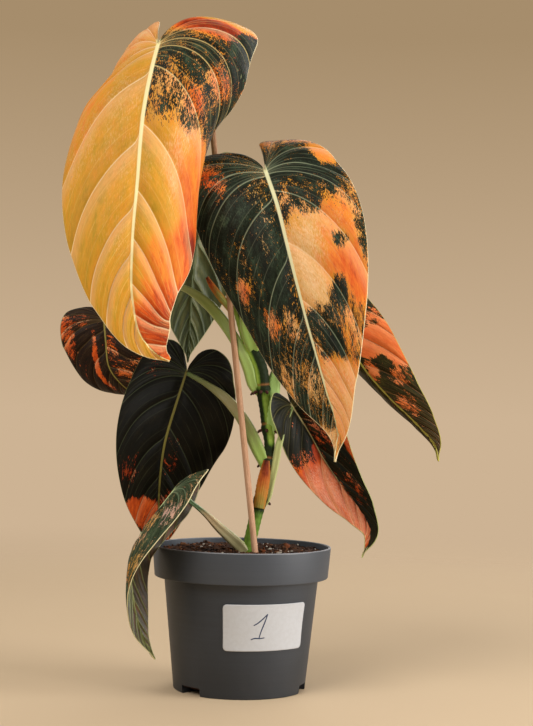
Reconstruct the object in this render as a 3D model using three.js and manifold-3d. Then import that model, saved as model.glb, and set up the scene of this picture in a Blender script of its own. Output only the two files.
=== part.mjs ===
// Potted variegated philodendron: pot, number label, soil, support stick, main stem, eight leaves.
// Millimetres, +Z up. The origin is the middle of the pot's foot, +X is to the right of the front view
// and +Y leads away from it.
import * as THREE from 'three';
import { mergeVertices } from 'three/addons/utils/BufferGeometryUtils.js';
import Module from 'manifold-3d';

const wasm = await Module();
wasm.setup();

const GAP = 0.3; // clearance between neighbouring pieces
const FRONT = [0, -1, 0];

const POT = {
  height: 95,
  rimRadius: 60,
  bandHeight: 20.6,
  bandRadius: 58.2,
  shoulderRadius: 51.8,
  footRadius: 44,
  wall: 1.3,
  rimWall: 1.8,
  lip: 0.8,
  lipChamfer: 0.5,
  floor: 1.6,
  discRadius: 25,
  discSlope: 1.5,
  lift: 2.5,
  footRing: 6,
  footSlope: 1,
  sides: 48,
};
const NOTCH = { width: 17, height: 5.5, depth: 8, azimuths: [-45, 75, 195] };
const DRAIN_HOLE = { diameter: 6, circle: 31, count: 6 };
const LABEL = { from: -12, to: 55.5, bottom: 31.7, top: 61.7, thickness: 0.4, columns: 10 };
const SOIL = { top: 92, bumps: 0.8, edgeDrop: 2, sides: 36, rings: 6 };

const STICK = {
  foot: [9.1, -25, 92.9],
  top: [-28, 14, 389.3],
  buried: 50,
  diameter: 4.1,
};

// The main stem from soil to crown: points, and the radius at each.
const STEM = {
  points: [
    [4.6, -14, 94], [7, -13, 106], [9.7, -11, 118], [11.9, -10, 126], [14.6, -8, 139], [16.1, -6, 151],
    [17.2, -5, 163], [15.9, -4, 174], [13.6, -4, 188], [12, -4, 200], [10.4, -4, 212], [3.3, -2, 229],
    [-6.1, 2, 255], [-12.2, 5.5, 281],
  ],
  radii: [4.2, 4.2, 4.3, 4.4, 3.7, 4, 3.5, 4.2, 3.9, 4.8, 4.9, 4.9, 3.6, 2.8],
  buried: 25,
};
// Dry root nubs at the joints of the stem: [index in STEM.points, azimuth from the front, length].
const NUBS = [
  [3, -85, 2.4], [3, 100, 3], [5, -85, 3.4], [7, -80, 3.6], [7, -10, 2], [7, 60, 3.4], [7, 90, 4],
  [9, -95, 4.2], [9, -60, 3.6], [9, -15, 2], [9, 30, 2.4],
];
const NUB = { radius: 0.9, tip: 0.6, root: 1.5, droop: 0.35 };

const BLADE = { thickness: 0.8, rows: 18, columns: 4 };
// Where a leaf with a bulge is wider near its tip, as shares of the length.
const BULGE = { place: 0.97, reach: 0.08 };
// How far out and how far along the side veins keep to their first direction before they bend to the margin.
const VEIN_BEND = { out: 0.62, along: 0.35 };

// Flat outline of half a blade: place along the margin, share of the half width, share of the length.
const OUTLINE = [
  [0, 0.02, -0.03], [0.06, 0.07, -0.075], [0.13, 0.2, -0.165], [0.21, 0.47, -0.205], [0.29, 0.78, -0.15],
  [0.37, 0.965, -0.02], [0.46, 1, 0.13], [0.56, 0.945, 0.315], [0.66, 0.8, 0.5], [0.76, 0.58, 0.675],
  [0.85, 0.335, 0.815], [0.92, 0.14, 0.91], [0.97, 0.035, 0.965], [1, 0.012, 1],
];
// Where the vein that ends at that place of the margin leaves the midrib, as a share of the length.
const VEIN_ROOTS = [
  [0, 0], [0.3, 0], [0.4, 0.03], [0.52, 0.13], [0.64, 0.29], [0.76, 0.49], [0.86, 0.69], [0.93, 0.84],
  [0.97, 0.93], [1, 1],
];

// Each leaf. midrib: points from the petiole's end to the tip. turn: how far the face turns from `face`
// about the midrib. Pairs are for the left and right half: fold is the rise of the half from the midrib,
// curl its further bend at the margin, both in degrees at base, middle and tip. lobeBend is the bend
// of the basal lobe, lobeLength and fuller change its length and the width of the blade's middle.
// petiole: points from the stem to the blade, and at each point the width and depth of its section,
// which is wide where the sheath clasps the stem.
const LEAVES = {
  leaf_1: {
    midrib: [[-62, -33, 424], [-65, -47, 402], [-68, -56, 377], [-70, -67, 329], [-72, -71, 285],
      [-71, -70, 253], [-65, -67, 230], [-56, -65, 220], [-48, -56, 216]],
    turn: [38, -3, 0],
    fold: [[8, 8, 10], [-8, 7, 10]],
    curl: [[-47, -60, -26], [-102, -120, -5]],
    halfWidth: [58, 74],
    lobeBend: [-28, -43],
    lobeLength: [1, 1.34],
    fuller: [0.14, -0.06],
    bulge: [0, 1.5],
    petiole: [[-12.3, 5.6, 281.4], [-18, 8, 302], [-30.6, 8, 336], [-42.8, 2, 376], [-53.5, -12, 406],
      [-62, -32, 423.5]],
    section: [[5.4, 5.4], [4.8, 4.6], [4, 4], [3.8, 3.8], [3.6, 3.6], [3.6, 3.6]],
  },
  leaf_2: {
    midrib: [[11, -14, 345], [19, -28, 321], [27, -38, 290], [40, -48, 242], [52, -53, 202], [61, -54, 170],
      [59, -53, 154]],
    turn: [-35, 20, 25],
    fold: [[-10, 3, 10], [28, 10, 15]],
    curl: [[-25, -45, -23], [-15, -35, -22]],
    halfWidth: [55, 52],
    lobeBend: [-55, -45],
    lobeLength: [0.82, 1.1],
    fuller: [0.09, 0.07],
    petiole: [[4.2, -5.5, 230], [0.4, -6, 241], [-1.5, -4, 260], [1, 3, 295], [7, 3, 326], [11, -13.5, 345]],
    section: [[10, 9], [9, 7], [6, 5], [4, 4], [3.6, 3.6], [3.4, 3.4]],
  },
  leaf_3: {
    midrib: [[-102, 45, 248], [-100, 42, 233], [-96.6, 43, 213], [-86.8, 48, 201], [-71.8, 58, 192]],
    turn: [-5, 20, 50],
    fold: [[10, -6, -18], [12, 0, 3]],
    curl: [[-20, -15, -64], [-24, -29, -28]],
    halfWidth: [31, 34],
    lobeBend: [-58, 0],
    lobeLength: [0.93, 0.95],
    fuller: [0.05, 0.1],
    petiole: [[5.5, -5, 202], [2.6, -5.5, 212], [-1.5, -4.5, 222], [-7.5, -1, 233], [-15.5, 3, 245],
      [-28.3, 10, 259], [-43.4, 19, 269], [-68.5, 38, 271.5], [-91.8, 49.5, 262.5], [-101.8, 47, 248.5]],
    section: [[7, 6], [8, 6.5], [7.6, 6], [7.6, 5], [8, 4.6], [7.4, 4.2], [4.6, 3.6], [3.2, 3.2], [2.8, 2.8],
      [2.6, 2.6]],
  },
  leaf_4: {
    midrib: [[-41, 16, 210], [-48, 12, 186], [-54, 12, 164], [-58, 20, 133], [-59, 32, 108], [-60, 50, 81]],
    turn: [24, -6, -8],
    fold: [[2, 4, 16], [28, 0, 8]],
    curl: [[-14, -35, -23], [-34, -24, -34]],
    halfWidth: [42, 42],
    lobeBend: [8, 10],
    lobeLength: [0.73, 0.67],
    fuller: [-0.09, 0.03],
    petiole: [[13.5, -6.5, 151.5], [8.8, -6.5, 161], [3.9, -6, 171], [-3.2, -7.4, 182.5], [-13.7, -6, 194],
      [-25.7, 0.6, 202.5], [-40.4, 12.6, 210.4]],
    section: [[8, 7], [9, 6], [9, 5], [8, 4.4], [6.6, 4], [4.2, 3.4], [2.8, 2.8]],
  },
  leaf_5: {
    midrib: [[-34, 38, 344], [-36, 45, 317], [-40, 48, 285], [-41, 49, 256], [-42, 47, 219]],
    turn: [170, 165, 175],
    fold: [[12, 8, 8], [10, 10, 10]],
    curl: [[-24, -25, -25], [-25, -22, -25]],
    halfWidth: [38, 38],
    lobeBend: [20, 10],
    lobeLength: [0.95, 0.95],
    fuller: [0, 0],
    petiole: [[-6.5, 5, 258], [-12.5, 14, 282], [-21.9, 26, 314], [-30, 33.5, 334], [-34, 38, 344.5]],
    section: [[7, 6], [6, 4.6], [4.4, 3.6], [3, 3], [2.8, 2.8]],
  },
  leaf_6: {
    midrib: [[-45, -36, 132], [-54.5, -42.4, 119], [-63.3, -47.2, 106], [-68.9, -50, 92], [-69.6, -50, 76],
      [-66.8, -49.6, 58], [-61.5, -49.5, 40], [-53, -50, 26]],
    face: [-0.75, -0.25, 0.6],
    turn: [10, 24, 75],
    fold: [[-33, -13, -3], [-17, -6, 5]],
    curl: [[-24, -26, -8], [-2, -25, -14]],
    halfWidth: [27, 29],
    lobeBend: [0, -20],
    lobeLength: [0.95, 0.93],
    fuller: [0, 0.09],
    petiole: [[6.5, -13, 84], [0.4, -16, 94], [-6.4, -18, 100.5], [-15.7, -22, 109], [-22.6, -25, 116],
      [-30.8, -29, 123], [-36, -32, 127], [-43.9, -36.2, 131.1]],
    section: [[8, 7], [8, 7], [7.6, 6.4], [6.2, 5], [4.4, 3.8], [3, 3], [2.8, 2.8], [2.6, 2.6]],
  },
  leaf_7: {
    midrib: [[63, 20, 248], [80, 25, 219], [100, 30, 197], [121, 34, 178], [134, 36, 163], [136, 36, 153]],
    turn: [-14, 18, 0],
    fold: [[-58, -63, -57], [7, 13, 13]],
    curl: [[-19, -24, -13], [-29, -19, -23]],
    halfWidth: [31, 30],
    lobeBend: [0, 0],
    lobeLength: [0.95, 0.95],
    fuller: [0, 0.04],
    petiole: [[18.5, -5, 175], [18.2, -4, 186], [18.6, -1, 200], [21.3, 4, 212], [29.9, 10, 226],
      [44.9, 16, 239], [62.8, 20, 248]],
    section: [[9, 7], [10.4, 8], [10, 6.4], [8, 5], [4.6, 4], [3.2, 3.2], [2.8, 2.8]],
  },
  leaf_8: {
    midrib: [[32, 4, 189], [43, 10, 173], [55, 13, 153], [68, 14, 135], [81, 14, 119], [88, 13, 104],
      [82, 12, 87]],
    turn: [-15, 10, 16],
    fold: [[40, 32, 37], [36, 36, 42]],
    curl: [[-10, -18, -2], [4, -8, -4]],
    halfWidth: [27, 26],
    lobeBend: [15, 2],
    lobeLength: [0.75, 0.93],
    fuller: [-0.12, 0.03],
    petiole: [[15, -9.5, 125], [18.7, -8.5, 139], [21.8, -8, 153], [23.4, -8, 163], [26.5, -6, 173],
      [29.3, -2, 181], [32, 4, 189]],
    section: [[5, 4.4], [5.6, 4.4], [5.2, 4], [4.8, 3.6], [3.6, 3], [2.6, 2.6], [2.6, 2.6]],
  },
};

// Dead sheaths that still clasp the stem: points, with the width and depth at each.
const DRY_SHEATHS = {
  dry_sheath_lower: {
    points: [[11, -14.8, 121], [12.8, -14.4, 133], [14.3, -13, 143], [15.4, -12, 152.5]],
    section: [[8, 3], [8.6, 2.6], [7.6, 2.2], [4, 1.4]],
  },
  dry_sheath_upper: {
    points: [[-10.8, -2.2, 254], [-19, -4.2, 263], [-24, -3.6, 269.5], [-27.5, -4, 275]],
    section: [[5.4, 2], [4.6, 1.8], [3.8, 1.4], [2, 1.2]],
  },
};

const COLOURS = {
  pot: ['#4b5055', 0.6],
  label: ['#eceae6', 0.8],
  soil: ['#3a241a', 0.95],
  stick: ['#c79f85', 0.75],
  stem: ['#39512a', 0.55],
  petiole: ['#7f9a45', 0.5],
  dry: ['#b05a1e', 0.7],
  leaf_1: ['#d79a3c', 0.6],
  leaf_2: ['#3d4b3c', 0.6],
  leaf_3: ['#4a3426', 0.6],
  leaf_4: ['#23291f', 0.6],
  leaf_5: ['#5d6a5e', 0.7],
  leaf_6: ['#46573d', 0.6],
  leaf_7: ['#b0553a', 0.6],
  leaf_8: ['#6b4a3c', 0.6],
};

const radians = (degrees) => THREE.MathUtils.degToRad(degrees);
const vector = (numbers) => new THREE.Vector3(...numbers);

// Smooth value at `at` through values given at the knots; values are numbers.
function smooth(knots, values, at) {
  const last = knots.length - 1;
  const place = Math.min(Math.max(at, knots[0]), knots[last]);
  let i = 0;
  while (i < last - 1 && place >= knots[i + 1]) i += 1;
  const rise = (k) => (values[k + 1] - values[k]) / (knots[k + 1] - knots[k]);
  const step = (k) => knots[k + 1] - knots[k];
  const slope = (k) => {
    if (k === 0) return rise(0);
    if (k === last) return rise(last - 1);
    return (rise(k - 1) * step(k) + rise(k) * step(k - 1)) / (step(k - 1) + step(k));
  };
  const s = (place - knots[i]) / step(i);
  return (1 + 2 * s) * (1 - s) ** 2 * values[i]
    + s * (1 - s) ** 2 * step(i) * slope(i)
    + s * s * (3 - 2 * s) * values[i + 1]
    + s * s * (s - 1) * step(i) * slope(i + 1);
}

// A smooth path through points, with its length, and the point and direction at any share of it.
function pathThrough(points, steps = 60) {
  const knots = [0];
  for (let i = 1; i < points.length; i += 1) {
    knots.push(knots[i - 1] + vector(points[i]).distanceTo(vector(points[i - 1])));
  }
  const total = knots[knots.length - 1];
  const along = (axis) => points.map((p) => p[axis]);
  const pointAt = (distance) => vector([0, 1, 2].map((axis) => smooth(knots, along(axis), distance)));
  const fine = Array.from({ length: steps + 1 }, (_, i) => pointAt((total * i) / steps));
  const reach = [0];
  for (let i = 1; i <= steps; i += 1) reach.push(reach[i - 1] + fine[i].distanceTo(fine[i - 1]));
  const length = reach[steps];
  const directions = fine.slice(1).map((p, i) => p.clone().sub(fine[i]).normalize());
  const middles = directions.map((_, i) => (reach[i] + reach[i + 1]) / 2);
  const between = (places, vectors, at) => {
    if (at <= places[0]) return vectors[0].clone();
    const last = places.length - 1;
    if (at >= places[last]) return vectors[last].clone();
    const i = places.findIndex((place) => place > at) - 1;
    return vectors[i].clone().lerp(vectors[i + 1], (at - places[i]) / (places[i + 1] - places[i]));
  };
  return {
    knotShares: knots.map((k) => k / total),
    length,
    at: (share) => ({
      point: between(reach, fine, share * length),
      along: between(middles, directions, share * length).normalize(),
    }),
  };
}

// Value through three numbers at base, middle and tip.
function threeWay([base, middle, tip], share) {
  const other = 1 - share;
  return base * other * (other - share) + middle * 4 * share * other + tip * share * (share - other);
}

// Place and surface normal of a point of the blade; x is its flat distance from the midrib and y its
// share of the length, on side 0 (left) or 1 (right).
function bladePoint(leaf, midrib, side, x, y) {
  const share = Math.min(Math.max(y, 0), 1);
  const { point, along } = midrib.at(share);
  const front = vector(leaf.face ?? FRONT);
  const level = front.addScaledVector(along, -front.dot(along)).normalize();
  const turn = radians(threeWay(leaf.turn, share));
  const acrossLevel = level.clone().cross(along);
  const normal = level.multiplyScalar(Math.cos(turn)).addScaledVector(acrossLevel, -Math.sin(turn));
  const outward = normal.clone().cross(along).multiplyScalar(side === 1 ? 1 : -1);
  const fold = radians(threeWay(leaf.fold[side], share));
  const curl = radians(threeWay(leaf.curl[side], share)) * (x / leaf.halfWidth[side]);
  const chord = Math.abs(curl) < 1e-6 ? x : (x * Math.sin(curl / 2)) / (curl / 2);
  const rise = fold + curl / 2;
  const back = Math.max(-y, 0);
  const lobe = radians(leaf.lobeBend[side]) * (back / 0.2);
  const place = point.clone()
    .addScaledVector(outward, chord * Math.cos(rise))
    .addScaledVector(normal, chord * Math.sin(rise) + midrib.length * back * Math.sin(lobe / 2))
    .addScaledVector(along, -midrib.length * back * Math.cos(lobe / 2));
  normal.multiplyScalar(Math.cos(fold + curl)).addScaledVector(outward, -Math.sin(fold + curl));
  normal.multiplyScalar(Math.cos(lobe)).addScaledVector(along, Math.sin(lobe)).normalize();
  return { place, normal };
}

// Flat place of the blade's point at q along the margin and t from midrib (0) to margin (1).
function flatPoint(leaf, side, q, t) {
  const column = (table, k) => table.map((row) => row[k]);
  const yShare = smooth(column(OUTLINE, 0), column(OUTLINE, 2), q);
  const inside = Math.min(Math.max(yShare, 0), 1);
  const bulge = (leaf.bulge?.[side] ?? 0) * Math.exp(-(((inside - BULGE.place) / BULGE.reach) ** 2));
  const fuller = 1 + leaf.fuller[side] * 4 * inside * (1 - inside) + bulge;
  const marginX = smooth(column(OUTLINE, 0), column(OUTLINE, 1), q) * leaf.halfWidth[side] * fuller;
  const marginY = yShare < 0 ? yShare * leaf.lobeLength[side] : yShare;
  const rootY = smooth(column(VEIN_ROOTS, 0), column(VEIN_ROOTS, 1), q);
  const bendX = VEIN_BEND.out * marginX;
  const bendY = rootY + VEIN_BEND.along * (marginY - rootY);
  return [
    2 * t * (1 - t) * bendX + t * t * marginX,
    (1 - t) ** 2 * rootY + 2 * t * (1 - t) * bendY + t * t * marginY,
  ];
}

function geometryOf(points, triangles) {
  const geometry = new THREE.BufferGeometry();
  geometry.setAttribute('position', new THREE.Float32BufferAttribute(points.flatMap((p) => p.toArray()), 3));
  geometry.setIndex(triangles.flat());
  return geometry;
}

// A sheet of points with normals made into a closed plate, split into the same triangles on both faces.
function plate(points, normals, triangles, thickness) {
  const count = points.length;
  const upper = points.map((p, i) => p.clone().addScaledVector(normals[i], thickness / 2));
  const lower = points.map((p, i) => p.clone().addScaledVector(normals[i], -thickness / 2));
  const faces = triangles.flatMap(([a, b, c]) => [[a, b, c], [count + a, count + c, count + b]]);
  const edges = new Set(triangles.flatMap(([a, b, c]) => [`${a} ${b}`, `${b} ${c}`, `${c} ${a}`]));
  for (const edge of edges) {
    const [a, b] = edge.split(' ').map(Number);
    if (!edges.has(`${b} ${a}`)) faces.push([b, a, count + a], [b, count + a, count + b]);
  }
  return geometryOf([...upper, ...lower], faces);
}

function bladeGeometry(leaf, thickness) {
  const midrib = pathThrough(leaf.midrib);
  const points = [];
  const normals = [];
  const triangles = [];
  const ribIndex = [];
  let previousRoot = -1;
  for (let row = 0; row <= BLADE.rows; row += 1) {
    const [, root] = flatPoint(leaf, 0, row / BLADE.rows, 0);
    if (Math.abs(root - previousRoot) > 1e-6) {
      const sides = [0, 1].map((side) => bladePoint(leaf, midrib, side, 0, root));
      normals.push(sides[0].normal.add(sides[1].normal).normalize());
      points.push(sides[0].place);
      previousRoot = root;
    }
    ribIndex.push(points.length - 1);
  }
  for (const side of [0, 1]) {
    const index = [];
    for (let row = 0; row <= BLADE.rows; row += 1) {
      index.push([ribIndex[row]]);
      for (let column = 1; column <= BLADE.columns; column += 1) {
        const [x, y] = flatPoint(leaf, side, row / BLADE.rows, column / BLADE.columns);
        const { place, normal } = bladePoint(leaf, midrib, side, x, y);
        index[row].push(points.length);
        points.push(place);
        normals.push(normal);
      }
    }
    for (let row = 0; row < BLADE.rows; row += 1) {
      for (let column = 0; column < BLADE.columns; column += 1) {
        const [near, far] = [index[row], index[row + 1]];
        const corners = [near[column], far[column], far[column + 1], near[column + 1]];
        if (side === 0) corners.reverse();
        const [a, b, c, d] = corners;
        for (const triangle of [[a, b, c], [a, c, d]]) {
          if (new Set(triangle).size === 3) triangles.push(triangle);
        }
      }
    }
  }
  return plate(points, normals, triangles, thickness);
}

// A closed stalk along points, with an elliptical section [width, depth] at each; depth faces the front.
function stalk(points, sections, { grow = 0, sides = 10, steps = 2 } = {}) {
  const path = pathThrough(points);
  const rings = (points.length - 1) * steps;
  const knots = path.knotShares;
  const vertices = [];
  const triangles = [];
  for (let ring = 0; ring <= rings; ring += 1) {
    const whole = Math.floor(ring / steps);
    const part = (ring % steps) / steps;
    const share = whole + 1 < knots.length ? knots[whole] * (1 - part) + knots[whole + 1] * part : 1;
    const { point, along } = path.at(share);
    const width = smooth(knots, sections.map((s) => s[0]), share) / 2 + grow;
    const depth = smooth(knots, sections.map((s) => s[1]), share) / 2 + grow;
    const front = vector(FRONT);
    const facing = front.addScaledVector(along, -front.dot(along)).normalize();
    const across = along.clone().cross(facing);
    for (let k = 0; k < sides; k += 1) {
      const angle = (2 * Math.PI * k) / sides;
      vertices.push(point.clone()
        .addScaledVector(across, width * Math.cos(angle))
        .addScaledVector(facing, depth * Math.sin(angle)));
    }
  }
  for (let ring = 0; ring < rings; ring += 1) {
    for (let k = 0; k < sides; k += 1) {
      const a = ring * sides + k;
      const b = ring * sides + ((k + 1) % sides);
      triangles.push([a, a + sides, b], [b, a + sides, b + sides]);
    }
  }
  for (const [ring, flip] of [[0, false], [rings, true]]) {
    const centre = vertices.length;
    const first = ring * sides;
    vertices.push(path.at(ring === 0 ? 0 : 1).point);
    for (let k = 0; k < sides; k += 1) {
      const pair = [first + k, first + ((k + 1) % sides)];
      triangles.push([centre, ...(flip ? pair.reverse() : pair)]);
    }
  }
  return facingOut(geometryOf(vertices, triangles));
}

function facingOut(geometry) {
  const position = geometry.getAttribute('position');
  const index = geometry.getIndex();
  const corner = (i) => new THREE.Vector3().fromBufferAttribute(position, index.getX(i));
  let volume = 0;
  for (let i = 0; i < index.count; i += 3) volume += corner(i).dot(corner(i + 1).cross(corner(i + 2)));
  if (volume >= 0) return geometry;
  for (let i = 0; i < index.count; i += 3) {
    const second = index.getX(i + 1);
    index.setX(i + 1, index.getX(i + 2));
    index.setX(i + 2, second);
  }
  return geometry;
}

// A closed geometry as a solid that can be joined and cut.
function solid(geometry) {
  const bare = geometry.clone();
  bare.deleteAttribute('normal');
  bare.deleteAttribute('uv');
  const merged = mergeVertices(bare, 1e-4);
  return new wasm.Manifold(new wasm.Mesh({
    numProp: 3,
    vertProperties: new Float32Array(merged.getAttribute('position').array),
    triVerts: new Uint32Array(merged.getIndex().array),
  }));
}

// The largest piece of a solid, as a geometry.
function pieceOf(shape) {
  const pieces = shape.decompose().sort((a, b) => b.volume() - a.volume());
  const mesh = pieces[0].getMesh();
  const geometry = new THREE.BufferGeometry();
  geometry.setAttribute('position', new THREE.BufferAttribute(new Float32Array(mesh.vertProperties), 3));
  geometry.setIndex(new THREE.BufferAttribute(new Uint32Array(mesh.triVerts), 1));
  return geometry;
}

function bodyRadius(z) {
  return POT.footRadius + ((POT.shoulderRadius - POT.footRadius) * z) / (POT.height - POT.bandHeight);
}

function potSolid() {
  const shoulder = POT.height - POT.bandHeight;
  const inner = (z) => bodyRadius(z) - POT.wall;
  const floorTop = POT.lift + POT.floor;
  const ringInside = POT.footRadius - POT.footRing;
  const rimInside = POT.rimRadius - POT.rimWall;
  const lipBottom = POT.height - POT.lip;
  const profile = [
    [0, 0], [POT.discRadius, 0], [POT.discRadius + POT.discSlope, POT.lift],
    [ringInside - POT.footSlope, POT.lift], [ringInside, 0],
    [POT.footRadius, 0], [POT.shoulderRadius, shoulder], [POT.bandRadius, shoulder],
    [POT.rimRadius, lipBottom], [POT.rimRadius - POT.lipChamfer, POT.height],
    [rimInside + POT.lipChamfer, POT.height], [rimInside, lipBottom],
    [POT.bandRadius - POT.wall, shoulder + POT.wall],
    [inner(shoulder), shoulder + POT.wall], [inner(floorTop), floorTop],
    [POT.discRadius + 1 + POT.discSlope, floorTop], [POT.discRadius + 1, POT.floor], [0, POT.floor],
  ].map(([r, z]) => new THREE.Vector2(r, z));
  const turned = new THREE.LatheGeometry(profile, POT.sides).rotateX(Math.PI / 2);
  let pot = solid(facingOut(turned));
  for (const azimuth of NOTCH.azimuths) {
    const box = new THREE.BoxGeometry(NOTCH.width, 2 * NOTCH.depth, 2 * NOTCH.height)
      .translate(0, -POT.footRadius, 0)
      .rotateZ(radians(azimuth));
    pot = pot.subtract(solid(box));
  }
  for (let i = 0; i < DRAIN_HOLE.count; i += 1) {
    const radius = DRAIN_HOLE.diameter / 2;
    const hole = new THREE.CylinderGeometry(radius, radius, 4 * floorTop, 12)
      .rotateX(Math.PI / 2)
      .translate(DRAIN_HOLE.circle, 0, 0)
      .rotateZ((2 * Math.PI * i) / DRAIN_HOLE.count);
    pot = pot.subtract(solid(hole));
  }
  return pot;
}

function labelGeometry() {
  const { columns } = LABEL;
  const points = [];
  const normals = [];
  const triangles = [];
  for (let row = 0; row <= 1; row += 1) {
    for (let column = 0; column <= columns; column += 1) {
      const azimuth = radians(LABEL.from + ((LABEL.to - LABEL.from) * column) / columns);
      const z = row === 0 ? LABEL.bottom : LABEL.top;
      const radius = bodyRadius(z) + GAP + LABEL.thickness / 2;
      const outward = new THREE.Vector3(Math.sin(azimuth), -Math.cos(azimuth), 0);
      points.push(outward.clone().multiplyScalar(radius).setZ(z));
      normals.push(outward);
    }
  }
  for (let column = 0; column < columns; column += 1) {
    const [a, b] = [column, column + 1];
    const [c, d] = [a + columns + 1, b + columns + 1];
    triangles.push([a, b, d], [a, d, c]);
  }
  return plate(points, normals, triangles, LABEL.thickness);
}

function soilSolid() {
  const shoulder = POT.height - POT.bandHeight + POT.wall + GAP;
  const bottom = POT.lift + POT.floor + GAP;
  const inner = (z) => bodyRadius(z) - POT.wall - GAP;
  const edge = POT.rimRadius - POT.rimWall - 3 * GAP;
  const profile = [[0, bottom], [inner(bottom), bottom], [inner(shoulder - POT.wall), shoulder],
    [POT.bandRadius - POT.wall - 2 * GAP, shoulder], [edge, SOIL.top - SOIL.edgeDrop]];
  for (let ring = SOIL.rings - 1; ring >= 0; ring -= 1) {
    profile.push([((edge - SOIL.edgeDrop) * ring) / (SOIL.rings - 1), SOIL.top]);
  }
  const ground = new THREE.LatheGeometry(profile.map(([r, z]) => new THREE.Vector2(r, z)), SOIL.sides)
    .rotateX(Math.PI / 2);
  const position = ground.getAttribute('position');
  for (let i = 0; i < position.count; i += 1) {
    const [x, y, z] = [position.getX(i), position.getY(i), position.getZ(i)];
    if (z < SOIL.top - 0.01) continue;
    const bump = Math.sin(0.21 * x + 0.4) * Math.cos(0.17 * y) + 0.6 * Math.sin(0.33 * y - 0.25 * x);
    position.setZ(i, z + SOIL.bumps * bump);
  }
  return solid(facingOut(ground));
}

function stickGeometry(grow = 0) {
  const foot = vector(STICK.foot);
  const top = vector(STICK.top);
  const down = foot.clone().sub(top).normalize();
  const end = foot.clone().addScaledVector(down, STICK.buried + grow);
  const length = end.distanceTo(top);
  const radius = STICK.diameter / 2 + grow;
  return new THREE.CylinderGeometry(radius, radius, length, 10)
    .rotateX(Math.PI / 2)
    .applyQuaternion(new THREE.Quaternion().setFromUnitVectors(new THREE.Vector3(0, 0, 1), down.negate()))
    .translate((end.x + top.x) / 2, (end.y + top.y) / 2, (end.z + top.z) / 2);
}

function stemSolid(grow = 0) {
  const first = vector(STEM.points[0]);
  const down = first.clone().sub(vector(STEM.points[1])).normalize();
  const root = first.clone().addScaledVector(down, STEM.buried + grow);
  const radii = [STEM.radii[0], ...STEM.radii];
  const sections = radii.map((r) => [2 * r, 2 * r]);
  let stem = solid(stalk([root.toArray(), ...STEM.points], sections, { grow, sides: 12 }));
  for (const [at, azimuth, length] of NUBS) {
    const side = radians(azimuth);
    const outward = new THREE.Vector3(Math.sin(side), -Math.cos(side), -NUB.droop).normalize();
    const start = vector(STEM.points[at]).addScaledVector(outward, STEM.radii[at] - NUB.root);
    const size = NUB.root + length + grow;
    const nub = new THREE.CylinderGeometry(NUB.tip + grow, NUB.radius + grow, size, 6)
      .translate(0, size / 2, 0)
      .applyQuaternion(new THREE.Quaternion().setFromUnitVectors(new THREE.Vector3(0, 1, 0), outward))
      .translate(start.x, start.y, start.z);
    stem = stem.add(solid(nub));
  }
  return stem;
}

const sheathSolid = ({ points, section }, grow = 0) => solid(stalk(points, section, { grow }));
const petioleSolid = ({ petiole, section }, grow = 0) => solid(stalk(petiole, section, { grow }));

const plant = new THREE.Group();
plant.name = 'potted_philodendron';

function addPiece(name, geometry, [colour, roughness]) {
  const material = new THREE.MeshStandardMaterial({ color: colour, roughness, metalness: 0 });
  const mesh = new THREE.Mesh(geometry, material);
  mesh.name = name;
  plant.add(mesh);
}

addPiece('pot', pieceOf(potSolid()), COLOURS.pot);
addPiece('label', labelGeometry(), COLOURS.label);

const roomForStick = solid(stickGeometry(GAP));
const roomForStem = stemSolid(GAP);
const ground = soilSolid()
  .subtract(roomForStick)
  .subtract(roomForStem)
  .subtract(petioleSolid(LEAVES.leaf_6, GAP));
addPiece('soil', pieceOf(ground), COLOURS.soil);
addPiece('stick', stickGeometry(), COLOURS.stick);
addPiece('stem', pieceOf(stemSolid()), COLOURS.stem);

// Each petiole and dry sheath is cut back from the stem, the stick, its own blade and those made before it.
let taken = roomForStem.add(roomForStick);
for (const [name, sheath] of Object.entries(DRY_SHEATHS)) {
  addPiece(name, pieceOf(sheathSolid(sheath).subtract(taken)), COLOURS.dry);
  taken = taken.add(sheathSolid(sheath, GAP));
}
for (const [name, leaf] of Object.entries(LEAVES)) {
  const roomForBlade = solid(bladeGeometry(leaf, BLADE.thickness + 2 * GAP));
  const petiole = petioleSolid(leaf).subtract(taken).subtract(roomForBlade);
  addPiece(`${name}_petiole`, pieceOf(petiole), COLOURS.petiole);
  taken = taken.add(petioleSolid(leaf, GAP));
  addPiece(`${name}_blade`, bladeGeometry(leaf, BLADE.thickness), COLOURS[name]);
}

export default plant;
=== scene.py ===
# Potted variegated philodendron, dressed over its CAD frame.
# The tables are in millimetres; make_piece and object_of turn them into metres.
import math
import bpy
import numpy as np
from mathutils import Matrix, Vector, noise


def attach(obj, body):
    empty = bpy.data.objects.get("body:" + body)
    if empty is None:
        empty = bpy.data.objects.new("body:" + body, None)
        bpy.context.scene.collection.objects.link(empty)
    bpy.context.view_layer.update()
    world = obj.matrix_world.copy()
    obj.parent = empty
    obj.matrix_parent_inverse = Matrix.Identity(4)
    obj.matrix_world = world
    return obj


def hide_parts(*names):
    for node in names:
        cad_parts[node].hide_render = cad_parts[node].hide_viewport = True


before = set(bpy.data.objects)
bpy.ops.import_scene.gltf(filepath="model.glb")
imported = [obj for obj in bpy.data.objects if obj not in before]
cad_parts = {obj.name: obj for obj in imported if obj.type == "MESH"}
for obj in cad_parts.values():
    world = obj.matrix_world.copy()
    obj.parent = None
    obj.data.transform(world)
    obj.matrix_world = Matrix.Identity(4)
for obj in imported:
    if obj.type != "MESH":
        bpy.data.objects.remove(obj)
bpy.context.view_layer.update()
MM = 0.001
rng = np.random.default_rng(11)

# Camera of the photograph: place and angles, with the lens on a 36 mm high image. The values were fitted to
# the pot's rim, band and foot in the photograph and rounded. So were the pot's height and the radii of its
# band, shoulder and foot. The rim's radius is assumed.
CAMERA = {"place": (14, -955, 183), "pitch": 2.1, "roll": 1.2, "lens": 70, "height": 36}

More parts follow.
